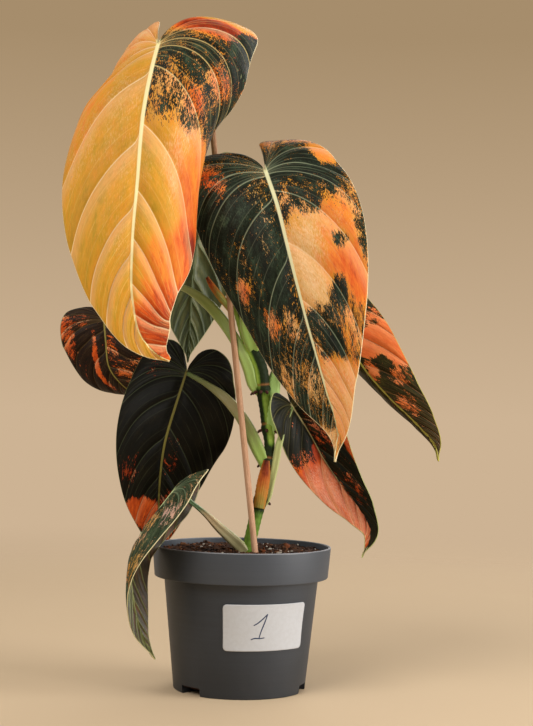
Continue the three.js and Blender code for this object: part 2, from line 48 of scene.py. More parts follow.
# Flat outline of half a blade: place along the margin, share of the half width, share of the length.
OUTLINE = np.array([
    (0, 0.02, -0.03), (0.06, 0.07, -0.075), (0.13, 0.2, -0.165), (0.21, 0.47, -0.205), (0.29, 0.78, -0.15),
    (0.37, 0.965, -0.02), (0.46, 1, 0.13), (0.56, 0.945, 0.315), (0.66, 0.8, 0.5), (0.76, 0.58, 0.675),
    (0.85, 0.335, 0.815), (0.92, 0.14, 0.91), (0.97, 0.035, 0.965), (1, 0.012, 1),
])
# Where the vein that ends at that place of the margin leaves the midrib, as a share of the length.
VEIN_ROOTS = np.array([
    (0, 0), (0.3, 0), (0.4, 0.03), (0.52, 0.13), (0.64, 0.29), (0.76, 0.49), (0.86, 0.69), (0.93, 0.84),
    (0.97, 0.93), (1, 1),
])
VEIN_BEND = {"out": 0.62, "along": 0.35}
# The side veins start at these places and drift towards the tip on their way to the margin.
SIDE_VEINS = [0.12, 0.2, 0.28, 0.34, 0.47, 0.63, 0.75, 0.82, 0.88, 0.92, 0.96]
# On the left half they start a little nearer to the tip, so the two sides take turns. Amount, tip and out
# were set after a fit to side veins read off the photograph.
VEIN_DRIFT = {"amount": 1.1, "tip": 1.75, "out": 1.12, "stagger": 0.15, "start": 0.02}

# Where a leaf with a bulge is wider near its tip, as shares of the length.
BULGE = {"place": 0.97, "reach": 0.08}
BLADE = {"thickness": 0.45, "rounding": 0.2, "puff": 0.12, "puff_limit": 2.1, "wave": 0.5}
# Distance in millimetres where there is no further vein, the most that is kept, and a cell's noise width.
NO_VEIN = 99.0
MOST_REACH = 60
CELL_WIDTH = 7.0
ROW_STEPS = [0, 0.03, 0.09, 0.17, 0.27, 0.38, 0.5, 0.62, 0.73, 0.83, 0.91, 0.97]
COLUMNS = np.array([
    0, 0.006, 0.012, 0.02, 0.03, 0.045, 0.065, 0.09, 0.12, 0.155, 0.19, 0.23, 0.27, 0.31, 0.35, 0.39,
    0.43, 0.47, 0.51, 0.55, 0.59, 0.63, 0.67, 0.71, 0.75, 0.79, 0.83, 0.87, 0.905, 0.935, 0.96, 0.98, 1,
])

# Leaves as in the CAD source, in millimetres and degrees. The values were fitted by least squares to
# outlines read off the photograph and rounded, and on leaves 3, 4, 5 and 8 partly changed.
LEAVES = {
    "leaf_1": {
        "midrib": [(-62, -33, 424), (-65, -47, 402), (-68, -56, 377), (-70, -67, 329), (-72, -71, 285),
                   (-71, -70, 253), (-65, -67, 230), (-56, -65, 220), (-48, -56, 216)],
        "turn": (38, -3, 0),
        "fold": ((8, 8, 10), (-8, 7, 10)),
        "curl": ((-47, -60, -26), (-102, -120, -5)),
        "half_width": (58, 74),
        "lobe_bend": (-28, -43),
        "lobe_length": (1, 1.34),
        "fuller": (0.14, -0.06),
        "bulge": (0, 1.5),
        "petiole": [(-12.3, 5.6, 281.4), (-18, 8, 302), (-30.6, 8, 336), (-42.8, 2, 376),
                    (-53.5, -12, 406), (-62, -32, 423.5)],
        "section": [(5.4, 5.4), (4.8, 4.6), (4, 4), (3.8, 3.8), (3.6, 3.6), (3.6, 3.6)],
    },
    "leaf_2": {
        "midrib": [(11, -14, 345), (19, -28, 321), (27, -38, 290), (40, -48, 242), (52, -53, 202),
                   (61, -54, 170), (59, -53, 154)],
        "turn": (-35, 20, 25),
        "fold": ((-10, 3, 10), (28, 10, 15)),
        "curl": ((-25, -45, -23), (-15, -35, -22)),
        "half_width": (55, 52),
        "lobe_bend": (-55, -45),
        "lobe_length": (0.82, 1.1),
        "fuller": (0.09, 0.07),
        "petiole": [(4.2, -5.5, 230), (0.4, -6, 241), (-1.5, -4, 260), (1, 3, 295), (7, 3, 326),
                    (11, -13.5, 345)],
        "section": [(10, 9), (9, 7), (6, 5), (4, 4), (3.6, 3.6), (3.4, 3.4)],
    },
    "leaf_3": {
        "midrib": [(-102, 45, 248), (-100, 42, 233), (-96.6, 43, 213), (-86.8, 48, 201), (-71.8, 58, 192)],
        "turn": (-5, 20, 50),
        "fold": ((10, -6, -18), (12, 0, 3)),
        "curl": ((-20, -15, -64), (-24, -29, -28)),
        "half_width": (31, 34),
        "lobe_bend": (-58, 0),
        "lobe_length": (0.93, 0.95),
        "fuller": (0.05, 0.1),
        "petiole": [(5.5, -5, 202), (2.6, -5.5, 212), (-1.5, -4.5, 222), (-7.5, -1, 233), (-15.5, 3, 245),
                    (-28.3, 10, 259), (-43.4, 19, 269), (-68.5, 38, 271.5), (-91.8, 49.5, 262.5),
                    (-101.8, 47, 248.5)],
        "section": [(7, 6), (8, 6.5), (7.6, 6), (7.6, 5), (8, 4.6), (7.4, 4.2), (4.6, 3.6), (3.2, 3.2),
                    (2.8, 2.8), (2.6, 2.6)],
    },
    "leaf_4": {
        "midrib": [(-41, 16, 210), (-48, 12, 186), (-54, 12, 164), (-58, 20, 133), (-59, 32, 108),
                   (-60, 50, 81)],
        "turn": (24, -6, -8),
        "fold": ((2, 4, 16), (28, 0, 8)),
        "curl": ((-14, -35, -23), (-34, -24, -34)),
        "half_width": (42, 42),
        "lobe_bend": (8, 10),
        "lobe_length": (0.73, 0.67),
        "fuller": (-0.09, 0.03),
        "petiole": [(13.5, -6.5, 151.5), (8.8, -6.5, 161), (3.9, -6, 171), (-3.2, -7.4, 182.5),
                    (-13.7, -6, 194), (-25.7, 0.6, 202.5), (-40.4, 12.6, 210.4)],
        "section": [(8, 7), (9, 6), (9, 5), (8, 4.4), (6.6, 4), (4.2, 3.4), (2.8, 2.8)],
    },
    "leaf_5": {
        "midrib": [(-34, 38, 344), (-36, 45, 317), (-40, 48, 285), (-41, 49, 256), (-42, 47, 219)],
        "turn": (170, 165, 175),
        "fold": ((12, 8, 8), (10, 10, 10)),
        "curl": ((-24, -25, -25), (-25, -22, -25)),
        "half_width": (38, 38),
        "lobe_bend": (20, 10),
        "lobe_length": (0.95, 0.95),
        "fuller": (0, 0),
        "petiole": [(-6.5, 5, 258), (-12.5, 14, 282), (-21.9, 26, 314), (-30, 33.5, 334), (-34, 38, 344.5)],
        "section": [(7, 6), (6, 4.6), (4.4, 3.6), (3, 3), (2.8, 2.8)],
    },
    "leaf_6": {
        "midrib": [(-45, -36, 132), (-54.5, -42.4, 119), (-63.3, -47.2, 106), (-68.9, -50, 92),
                   (-69.6, -50, 76), (-66.8, -49.6, 58), (-61.5, -49.5, 40), (-53, -50, 26)],
        "face": (-0.75, -0.25, 0.6),
        "turn": (10, 24, 75),
        "fold": ((-33, -13, -3), (-17, -6, 5)),
        "curl": ((-24, -26, -8), (-2, -25, -14)),
        "half_width": (27, 29),
        "lobe_bend": (0, -20),
        "lobe_length": (0.95, 0.93),
        "fuller": (0, 0.09),
        "petiole": [(6.5, -13, 84), (0.4, -16, 94), (-6.4, -18, 100.5), (-15.7, -22, 109),
                    (-22.6, -25, 116), (-30.8, -29, 123), (-36, -32, 127), (-43.9, -36.2, 131.1)],
        "section": [(8, 7), (8, 7), (7.6, 6.4), (6.2, 5), (4.4, 3.8), (3, 3), (2.8, 2.8), (2.6, 2.6)],
    },
    "leaf_7": {
        "midrib": [(63, 20, 248), (80, 25, 219), (100, 30, 197), (121, 34, 178), (134, 36, 163),
                   (136, 36, 153)],
        "turn": (-14, 18, 0),
        "fold": ((-58, -63, -57), (7, 13, 13)),
        "curl": ((-19, -24, -13), (-29, -19, -23)),
        "half_width": (31, 30),
        "lobe_bend": (0, 0),
        "lobe_length": (0.95, 0.95),
        "fuller": (0, 0.04),
        "petiole": [(18.5, -5, 175), (18.2, -4, 186), (18.6, -1, 200), (21.3, 4, 212), (29.9, 10, 226),
                    (44.9, 16, 239), (62.8, 20, 248)],
        "section": [(9, 7), (10.4, 8), (10, 6.4), (8, 5), (4.6, 4), (3.2, 3.2), (2.8, 2.8)],
    },
    "leaf_8": {
        "midrib": [(32, 4, 189), (43, 10, 173), (55, 13, 153), (68, 14, 135), (81, 14, 119), (88, 13, 104),
                   (82, 12, 87)],
        "turn": (-15, 10, 16),
        "fold": ((40, 32, 37), (36, 36, 42)),
        "curl": ((-10, -18, -2), (4, -8, -4)),
        "half_width": (27, 26),
        "lobe_bend": (15, 2),
        "lobe_length": (0.75, 0.93),
        "fuller": (-0.12, 0.03),
        "petiole": [(15, -9.5, 125), (18.7, -8.5, 139), (21.8, -8, 153), (23.4, -8, 163), (26.5, -6, 173),
                    (29.3, -2, 181), (32, 4, 189)],
        "section": [(5, 4.4), (5.6, 4.4), (5.2, 4), (4.8, 3.6), (3.6, 3), (2.6, 2.6), (2.6, 2.6)],
    },
}

# Colour of each leaf's upper side. base is how dark, how warm and how pale the whole blade is; dark tissue
# is near-black green, light tissue runs from olive (warm 0) over gold and orange to deep red (warm 1), and
# pale mixes cream in. Each patch lies on one half of the blade: its middle (share of the half width, left
# below 0, and share of the length), its reach in both, and the dark, warm and pale values that it brings.
LEAF_PAINT = {
    "leaf_1": {
        "base": (0.02, 0.36, 0.42),
        "patches": [
            (-0.85, 0.12, 0.3, 0.2, 0.02, 0.5, 0.4), (-0.4, 0.74, 0.55, 0.25, 0, 0.3, 0.25),
            (-0.15, 0.3, 0.16, 0.4, 0.02, 0.34, 0.4), (-0.4, -0.15, 0.5, 0.12, 0, 0.56, 0.6),
            (0.3, 0.03, 0.42, 0.1, 0.7, 0.5, 0.6), (0.66, 0.12, 0.42, 0.2, 0.8, 0.56, 0.5),
            (0.3, 0.14, 0.34, 0.1, 0.66, 0.52, 0.5), (0.42, 0.26, 0.4, 0.06, 0.66, 0.56, 0.6),
            (0.42, 0.17, 0.1, 0.04, 0.45, 0.72, 0.4),
            (0.66, 0.07, 0.12, 0.04, 0.5, 0.7, 0.4), (0.45, -0.12, 0.42, 0.045, 0.2, 0.97, 0),
            (0.84, -0.12, 0.17, 0.12, 1, 0.9, 0), (0.12, 0.5, 0.2, 0.3, -0.1, 0.3, 0.3),
            (0.1, 0.16, 0.2, 0.1, 0.64, 0.5, 0.5),
            (0.46, 0.39, 0.22, 0.1, -0.1, 0.54, 0.6), (0.6, 0.4, 0.16, 0.1, -0.1, 0.6, 0.3),
            (0.6, 0.52, 0.2, 0.12, -0.1, 0.68, 0.25),
            (0.5, 0.68, 0.16, 0.1, -0.1, 1.02, -0.2), (0.3, 0.7, 0.2, 0.1, 0, 0.62, 0.1),
            (0.35, 0.9, 0.45, 0.12, 0.2, 0.9, -0.2),
        ],
    },
    "leaf_2": {
        "base": (0.5, 0.54, 0.4),
        "patches": [
            (-0.5, 0.3, 0.62, 0.42, 0.84, 0.45, 0.5), (-0.3, 0.8, 0.4, 0.2, 0.76, 0.5, 0.5),
            (-0.76, 0.02, 0.2, 0.07, 0.45, 0.76, 0.1),
            (-0.8, 0.13, 0.22, 0.08, 1, 0.6, 0.2), (-0.22, 0.2, 0.1, 0.12, 0.72, 0.3, 0.8),
            (-0.7, 0.38, 0.1, 0.04, 0.46, 0.72, 0.3), (-0.43, 0.51, 0.1, 0.05, 0.5, 0.68, 0.4),
            (-0.18, 0.54, 0.07, 0.05, 0.52, 0.55, 0.7), (-0.4, 0.7, 0.14, 0.06, 0.6, 0.5, 0.7),
            (-0.11, 0.74, 0.1, 0.06, 0.56, 0.45, 0.7), (-0.14, 0.95, 0.2, 0.05, 0.3, 0.5, 0.7),
            (0.42, 0.02, 0.5, 0.1, 0.92, 0.5, 0.3), (0.84, -0.05, 0.14, 0.05, 0.1, 0.56, 0.4),
            (0.2, 0.14, 0.34, 0.07, 0.7, 0.5, 0.6), (0.5, 0.22, 0.4, 0.05, 0.78, 0.56, 0.3),
            (0.3, 0.36, 0.34, 0.14, -0.1, 0.42, 0.72), (0.72, 0.34, 0.3, 0.14, 0, 0.6, 0.4),
            (0.72, 0.44, 0.2, 0.08, 0, 0.74, 0.1), (0.67, 0.32, 0.1, 0.03, 0.72, 0.5, 0.5),
            (0.97, 0.32, 0.09, 0.2, 0.64, 0.52, 0.6), (0.52, 0.5, 0.12, 0.06, 0.86, 0.5, 0.4),
            (0.2, 0.57, 0.24, 0.05, 0.74, 0.5, 0.7), (0.42, 0.66, 0.24, 0.05, 1.1, 0.5, 0.2),
            (0.2, 0.8, 0.3, 0.1, -0.1, 0.56, 0.6), (0.55, 0.62, 0.14, 0.08, 0.45, 0.56, 0.4),
        ],
    },
    "leaf_3": {
        "base": (0.86, 0.84, 0.05),
        "patches": [
            (-0.88, 0.1, 0.16, 0.22, 0.52, 0.8, 0.05), (-0.49, 0, 0.16, 0.06, 0.56, 0.84, 0.05),
            (-0.26, 0.42, 0.06, 0.26, 0.3, 0.8, 0.05), (0.12, 0.24, 0.14, 0.14, 0.6, 0.72, 0.05),
            (0.4, 0.6, 0.3, 0.16, 0.58, 0.72, 0.05),
        ],
    },
    "leaf_4": {
        "base": (1.02, 0.95, 0),
        "patches": [
            (-0.55, 0.5, 0.2, 0.08, 0.7, 0.95, 0), (0.13, 0.4, 0.12, 0.1, 0.68, 0.95, 0),
            (-0.46, 0.0, 0.34, 0.05, 0.72, 0.95, 0), (-0.28, 0.71, 0.26, 0.07, 0, 0.78, 0.02),
            (0.26, 0.66, 0.26, 0.06, 0.45, 0.95, 0), (-0.1, 0.8, 0.2, 0.1, 0.35, 0.84, 0),
            (0.2, 0.86, 0.2, 0.1, 0.45, 0.84, 0),
        ],
    },
    "leaf_5": {"base": (0.5, 0.4, 0.4), "patches": [(0.4, 0.3, 0.4, 0.2, 0.15, 0.5, 0.5)]},
    "leaf_6": {
        "base": (0.74, 0.42, 0.8),
        "patches": [
            (0.74, 0.16, 0.2, 0.07, 0.5, 0.55, 1), (0.27, 0.33, 0.2, 0.1, 0.52, 0.55, 1),
            (0.3, 0.24, 0.2, 0.08, 0.6, 0.4, 0.6), (0.5, 0.46, 0.4, 0.1, 0.6, 0.3, 0.6),
            (0.3, 0.7, 0.5, 0.2, 0.8, 0.7, 0.3),
        ],
    },
    "leaf_7": {
        "base": (0.86, 0.74, 0.05),
        "patches": [
            (0.75, 0.2, 0.45, 0.08, -0.1, 0.76, 0.12), (0.35, 0.17, 0.3, 0.06, -0.1, 0.8, 0.15),
            (0.85, 0.34, 0.2, 0.09, 0, 0.78, 0.1), (0.75, 0.06, 0.3, 0.04, 0.52, 0.74, 0.05),
            (0.12, 0.35, 0.12, 0.06, 0.42, 0.78, 0.05), (0.25, 0.62, 0.2, 0.08, 0.55, 0.76, 0.05),
            (0.6, 0.46, 0.2, 0.06, 0.55, 0.74, 0.05),
        ],
    },
    "leaf_8": {
        "base": (0.9, 0.86, 0.05),
        "patches": [
            (-0.04, 0.3, 0.16, 0.05, 0.1, 0.95, 0.1), (-0.62, 0.45, 0.5, 0.12, 0, 0.84, 0.5),
            (-0.3, 0.56, 0.5, 0.16, -0.1, 0.8, 0.65), (-0.25, 0.78, 0.5, 0.14, -0.1, 0.8, 0.6),
            (-0.7, 0.28, 0.3, 0.05, 0.52, 0.8, 0.2), (0.92, 0.36, 0.07, 0.16, 0.1, 0.8, 0.45),
            (0.3, 0.2, 0.34, 0.14, 0.6, 0.9, 0.1), (0.3, 0.55, 0.3, 0.1, 0.66, 0.86, 0.2),
        ],
    },
}


def colour(code):
    """Linear colour of a screen colour code such as 8a7f45."""
    shares = [int(code[i:i + 2], 16) / 255 for i in (0, 2, 4)]
    return tuple(c / 12.92 if c <= 0.04045 else ((c + 0.055) / 1.055) ** 2.4 for c in shares) + (1.0,)


def spline(knots, values, at):
    """Smooth values at `at` through values given at the knots."""
    k = np.asarray(knots, float)
    v = np.asarray(values, float)
    flat_values = v.ndim == 1
    if flat_values:
        v = v[:, None]
    step = k[1:] - k[:-1]
    rise = (v[1:] - v[:-1]) / step[:, None]
    slope = np.empty_like(v)
    slope[0] = rise[0]
    slope[-1] = rise[-1]
    weighted = rise[:-1] * step[1:, None] + rise[1:] * step[:-1, None]
    slope[1:-1] = weighted / (step[:-1] + step[1:])[:, None]
    place = np.clip(np.asarray(at, float), k[0], k[-1])
    i = np.clip(np.searchsorted(k, place, side="right") - 1, 0, len(k) - 2)
    s = ((place - k[i]) / step[i])[..., None]
    h = step[i][..., None]
    out = (1 + 2 * s) * (1 - s) ** 2 * v[i] + s * (1 - s) ** 2 * h * slope[i]
    out = out + s * s * (3 - 2 * s) * v[i + 1] + s * s * (s - 1) * h * slope[i + 1]
    return out[..., 0] if flat_values else out


def three_way(values, share):
    """Value through three numbers at base, middle and tip."""
    base, middle, tip = values
    other = 1 - share
    return base * other * (other - share) + middle * 4 * share * other + tip * share * (share - other)


def unit(vectors):
    return vectors / np.maximum(np.linalg.norm(vectors, axis=-1, keepdims=True), 1e-9)


def path_through(points, steps=60):
    """Points and distances of a smooth path."""
    p = np.asarray(points, float)
    knots = np.r_[0, np.cumsum(np.linalg.norm(np.diff(p, axis=0), axis=1))]
    fine = spline(knots, p, np.linspace(0, knots[-1], steps + 1))
    reach = np.r_[0, np.cumsum(np.linalg.norm(np.diff(fine, axis=0), axis=1))]
    return fine, reach, knots / knots[-1]


def path_at(points, share, steps=60):
    """Point and direction of a smooth path at shares of its length."""
    fine, reach, _ = path_through(points, steps)
    at = np.asarray(share) * reach[-1]
    place = np.stack([np.interp(at, reach, fine[:, i]) for i in range(3)], -1)
    middle = (reach[1:] + reach[:-1]) / 2
    ways = np.diff(fine, axis=0) / np.diff(reach)[:, None]
    along = np.stack([np.interp(at, middle, ways[:, i]) for i in range(3)], -1)
    return place, unit(along), reach[-1]


def blade_place(leaf, side, x, y):
    """Places and normals of blade points x mm from the midrib at length share y; side 1 is right."""
    share = np.clip(y, 0, 1)
    point, along, length = path_at(leaf["midrib"], share)
    front = np.array(leaf.get("face", (0, -1, 0)), float)
    level = unit(front - (along @ front)[..., None] * along)
    turn = np.radians(three_way(leaf["turn"], share))[..., None]
    normal = level * np.cos(turn) - np.cross(level, along) * np.sin(turn)
    outward = np.cross(normal, along) * (1 if side == 1 else -1)
    fold = np.radians(three_way(leaf["fold"][side], share))
    curl = np.radians(three_way(leaf["curl"][side], share)) * x / leaf["half_width"][side]
    chord = x * np.sinc(curl / 2 / np.pi)
    rise = fold + curl / 2
    back = np.clip(-y, 0, None)
    lobe = np.radians(leaf["lobe_bend"][side]) * back / 0.2
    place = point + outward * (chord * np.cos(rise))[..., None]
    place = place + normal * (chord * np.sin(rise) + length * back * np.sin(lobe / 2))[..., None]
    place = place - along * (length * back * np.cos(lobe / 2))[..., None]
    end = (fold + curl)[..., None]
    face = normal * np.cos(end) - outward * np.sin(end)
    face = face * np.cos(lobe)[..., None] + along * np.sin(lobe)[..., None]
    return place, unit(face)


def flat_place(leaf, side, q, t):
    """Flat place (mm from the midrib, length share) at q along the margin and t out from the midrib."""
    margin_y = spline(OUTLINE[:, 0], OUTLINE[:, 2], q)
    inside = np.clip(margin_y, 0, 1)
    bulge = leaf.get("bulge", (0, 0))[side] * np.exp(-(((inside - BULGE["place"]) / BULGE["reach"]) ** 2))
    fuller = 1 + leaf["fuller"][side] * 4 * inside * (1 - inside) + bulge
    margin_x = spline(OUTLINE[:, 0], OUTLINE[:, 1], q) * leaf["half_width"][side] * fuller
    margin_y = np.where(margin_y < 0, margin_y * leaf["lobe_length"][side], margin_y)
    root_y = spline(VEIN_ROOTS[:, 0], VEIN_ROOTS[:, 1], q)
    bend_x = VEIN_BEND["out"] * margin_x
    bend_y = root_y + VEIN_BEND["along"] * (margin_y - root_y)
    x = 2 * t * (1 - t) * bend_x + t * t * margin_x
    y = (1 - t) ** 2 * root_y + 2 * t * (1 - t) * bend_y + t * t * margin_y
    return x, y


def smoothstep(low, high, x):
    s = np.clip((x - low) / (high - low), 0, 1)
    return s * s * (3 - 2 * s)


def paint_of(paint, u, y):
    """Dark, warm and pale values at blade places, from the base and the patches in their order."""
    values = np.stack([np.full_like(u, v) for v in paint["base"]], -1)
    for pu, py, reach_u, reach_y, *target in paint["patches"]:
        far = ((u - pu) / reach_u) ** 2 + ((y - py) / reach_y) ** 2
        weight = (1 - smoothstep(0.1, 2.6, far)) * (u * pu >= 0)
        values = values + weight[..., None] * (np.array(target) - values)
    return values


def run_of(place, axis):
    """Distance travelled along a grid of places, from 0 at its first row or column."""
    steps = np.cumsum(np.linalg.norm(np.diff(place, axis=axis), axis=-1), axis=axis)
    return np.concatenate([np.zeros_like(np.take(steps, [0], axis)), steps], axis)


def half_grid(leaf, side, seed):
    """Places, face normals and painted values of one half of a blade, rows along the margin."""
    stops = [0.0] + SIDE_VEINS + [1.0]
    rows = []
    cell = []
    for k in range(len(stops) - 1):
        for f in ROW_STEPS:
            rows.append(stops[k] + f * (stops[k + 1] - stops[k]))
            cell.append(k + f)
    rows.append(1.0)
    cell.append(len(stops) - 1.0)
    r = np.array(rows)[:, None] * np.ones_like(COLUMNS)
    t = COLUMNS[None, :] * np.ones_like(r)
    q = r + VEIN_DRIFT["amount"] * r * (1 - r) ** VEIN_DRIFT["tip"] * t ** VEIN_DRIFT["out"]
    if side == 0:
        q = q + VEIN_DRIFT["stagger"] * r * (1 - r) * (1 - t) * (1 - np.exp(-t / VEIN_DRIFT["start"]))
    x, y = flat_place(leaf, side, q, t)
    place, nominal = blade_place(leaf, side, x, y)
    down = np.gradient(place, axis=0)
    out = np.gradient(place, axis=1)
    normal = np.cross(down, out)
    size = np.linalg.norm(normal, axis=-1, keepdims=True)
    normal = unit(normal)
    normal = normal * np.sign((normal * nominal).sum(-1, keepdims=True))
    normal = np.where((size < 1e-3) | ((normal * nominal).sum(-1, keepdims=True) < 0.5), nominal, normal)
    steps = len(ROW_STEPS)
    across = run_of(place, 0)
    k = np.minimum((np.arange(len(rows)) // steps), len(stops) - 2)
    start = across[k * steps]
    end = across[np.minimum((k + 1) * steps, len(rows) - 1)]
    before = np.where((k == 0)[:, None], NO_VEIN, across - start)
    after = np.where((k == len(stops) - 2)[:, None], NO_VEIN, end - across)
    major = np.minimum(before, after)
    minor = np.abs(across - (start + end) / 2)
    spacing = end - start
    f = np.clip((across - start) / np.maximum(spacing, 1e-6), 0, 1)
    along = run_of(place, 1)
    edge = along[:, -1:] - along
    swell = np.minimum(BLADE["puff"] * spacing, BLADE["puff_limit"])
    fade = smoothstep(0, 0.12, t) * (1 - t ** 5)
    relief = swell * fade * (0.68 * np.sin(np.pi * f) ** 0.7 + 0.32 * np.abs(np.sin(2 * np.pi * f)) ** 0.8)
    relief -= 0.22 * fade * np.exp(-(major / 0.5) ** 2)
    phase = np.random.default_rng(seed + side).uniform(0, 2 * np.pi, 3)
    relief += BLADE["wave"] * t ** 2 * (np.sin(17 * q + phase[0]) + 0.6 * np.sin(31 * q + phase[1]))
    u = x / leaf["half_width"][side] * (1 if side == 1 else -1)
    return {
        "place": place, "normal": normal, "relief": relief, "major": major, "minor": minor, "rib": x,
        "before": np.minimum(before, MOST_REACH), "after": np.minimum(after, MOST_REACH),
        "spacing": np.minimum(spacing, MOST_REACH), "edge": edge, "u": u, "y": y, "root": y[:, 0],
        "flow_across": np.array(cell)[:, None] * CELL_WIDTH * np.ones_like(t), "flow_along": along,
    }


def blade_mesh(leaf, paint, seed):
    """Vertices, faces, face materials and attributes of a whole blade: upper sheet, lower sheet, margin."""
    halves = [half_grid(leaf, side, seed) for side in (0, 1)]
    row_count, column_count = halves[0]["rib"].shape
    rib_rows = []
    for row in range(row_count):
        if not rib_rows or abs(halves[0]["root"][row] - halves[0]["root"][rib_rows[-1]]) > 1e-6:
            rib_rows.append(row)
    names = ("relief", "major", "minor", "rib", "edge", "u", "y", "flow_across", "flow_along", "before",
             "after", "spacing")
    rib = {name: halves[0][name][rib_rows, 0] for name in names}
    rib["place"] = halves[0]["place"][rib_rows, 0]
    rib["normal"] = unit(halves[0]["normal"][rib_rows, 1] + halves[1]["normal"][rib_rows, 1])
    rib_of_row = np.searchsorted(rib_rows, np.arange(row_count), side="right") - 1
    data = {name: [rib[name]] for name in names + ("place", "normal")}
    faces = []
    total = len(rib_rows)
    for side in (0, 1):
        for name in data:
            part = halves[side][name][:, 1:]
            data[name].append(part.reshape(-1, 3) if part.ndim == 3 else part.ravel())
        index = np.empty((row_count, column_count), int)
        index[:, 0] = rib_of_row
        index[:, 1:] = total + np.arange(row_count * (column_count - 1)).reshape(row_count, -1)
        total += row_count * (column_count - 1)
        corners = [index[:-1, :-1], index[1:, :-1], index[1:, 1:], index[:-1, 1:]]
        if side == 0:
            corners.reverse()
        faces += np.stack([c.ravel() for c in corners], 1).tolist()
    faces = [list(dict.fromkeys(face)) for face in faces]
    faces = [face for face in faces if len(face) > 2]
    data = {name: np.concatenate(parts) for name, parts in data.items()}
    length = path_at(leaf["midrib"], 0.5)[2]
    share = np.clip(data["y"], 0, 1)
    rib_width = (0.28 + 0.8 * (1 - share) ** 1.2) * length / 190 + 0.22
    ridge = np.clip(1 - (data["rib"] / rib_width) ** 2, 0, 1) * (data["y"] > -0.02)
    keel = np.clip(1 - (data["rib"] / (1.35 * rib_width)) ** 2, 0, 1) * (data["y"] > -0.02)
    side_rib = np.exp(-(data["major"] / 0.55) ** 2) * smoothstep(0, 1.5, data["edge"])
    lift = data["relief"] + BLADE["thickness"] / 2
    sink = data["relief"] - BLADE["thickness"] / 2
    upper = data["place"] + data["normal"] * (lift + 0.35 * rib_width * ridge)[:, None]
    lower = data["place"] + data["normal"] * (sink - 0.9 * rib_width * keel - 0.35 * side_rib)[:, None]
    values = paint_of(paint, data["u"], data["y"])
    seeds = np.full(total, float(seed))
    lines = np.stack([data["major"], data["minor"], data["edge"]], 1)
    flow = np.stack([data["flow_across"], data["flow_along"], seeds + 40 * (data["u"] > 0)], 1)
    ribs = np.stack([data["rib"], rib_width, data["y"]], 1)
    bands = np.stack([data["before"], data["after"], data["spacing"]], 1)
    vertices, all_faces, kinds, copies = close_sheet(upper, lower, faces, BLADE["rounding"])
    attributes = {"lines": lines, "flow": flow, "ribs": ribs, "bands": bands, "paint": values}
    attributes = {name: array[copies] for name, array in attributes.items()}
    return vertices, all_faces, kinds, attributes


def close_sheet(upper, lower, faces, rounding):
    """Joins two sheets with the same faces by a rounded strip along their open edge."""
    count = len(upper)
    edges = {}
    for face in faces:
        for a, b in zip(face, face[1:] + face[:1]):
            edges[(a, b)] = face
    rim = [(a, b, face) for (a, b), face in edges.items() if (b, a) not in edges]
    middle = (upper + lower) / 2
    push = {}
    for a, b, face in rim:
        inner = middle[face].mean(0)
        for v in (a, b):
            push[v] = push.get(v, 0) + unit(middle[[a, b]].mean(0) - inner)
    rim_points = sorted(push)
    rim_index = {v: 2 * count + i for i, v in enumerate(rim_points)}
    side = unit(np.array([push[v] for v in rim_points]))
    rounded = middle[rim_points] + side * rounding
    all_faces = list(faces)
    kinds = [0] * len(faces)
    all_faces += [[count + v for v in reversed(face)] for face in faces]
    kinds += [1] * len(faces)
    for a, b, _ in rim:
        all_faces.append([b, a, rim_index[a], rim_index[b]])
        all_faces.append([rim_index[b], rim_index[a], count + a, count + b])
        kinds += [0, 1]
    copies = np.concatenate([np.arange(count), np.arange(count), rim_points]).astype(int)
    return np.vstack([upper, lower, rounded]), all_faces, kinds, copies


def make_piece(name, vertices, faces, materials, replaced, kinds=None, attributes=None):
    """A smooth mesh object in metres that rides on the plant's body and stands for CAD nodes."""
    mesh = bpy.data.meshes.new(name)
    mesh.from_pydata((np.asarray(vertices) * MM).tolist(), [], faces)
    for material in materials:
        mesh.materials.append(material)
    if kinds is not None:
        mesh.polygons.foreach_set("material_index", kinds)
    mesh.polygons.foreach_set("use_smooth", [True] * len(mesh.polygons))
    for key, values in (attributes or {}).items():
        layer = mesh.attributes.new(key, "FLOAT_VECTOR", "POINT")
        layer.data.foreach_set("vector", np.asarray(values, np.float32).ravel())
    mesh.validate()
    piece = bpy.data.objects.new(name, mesh)
    bpy.context.collection.objects.link(piece)
    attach(piece, "root")
    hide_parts(*replaced)
    return piece


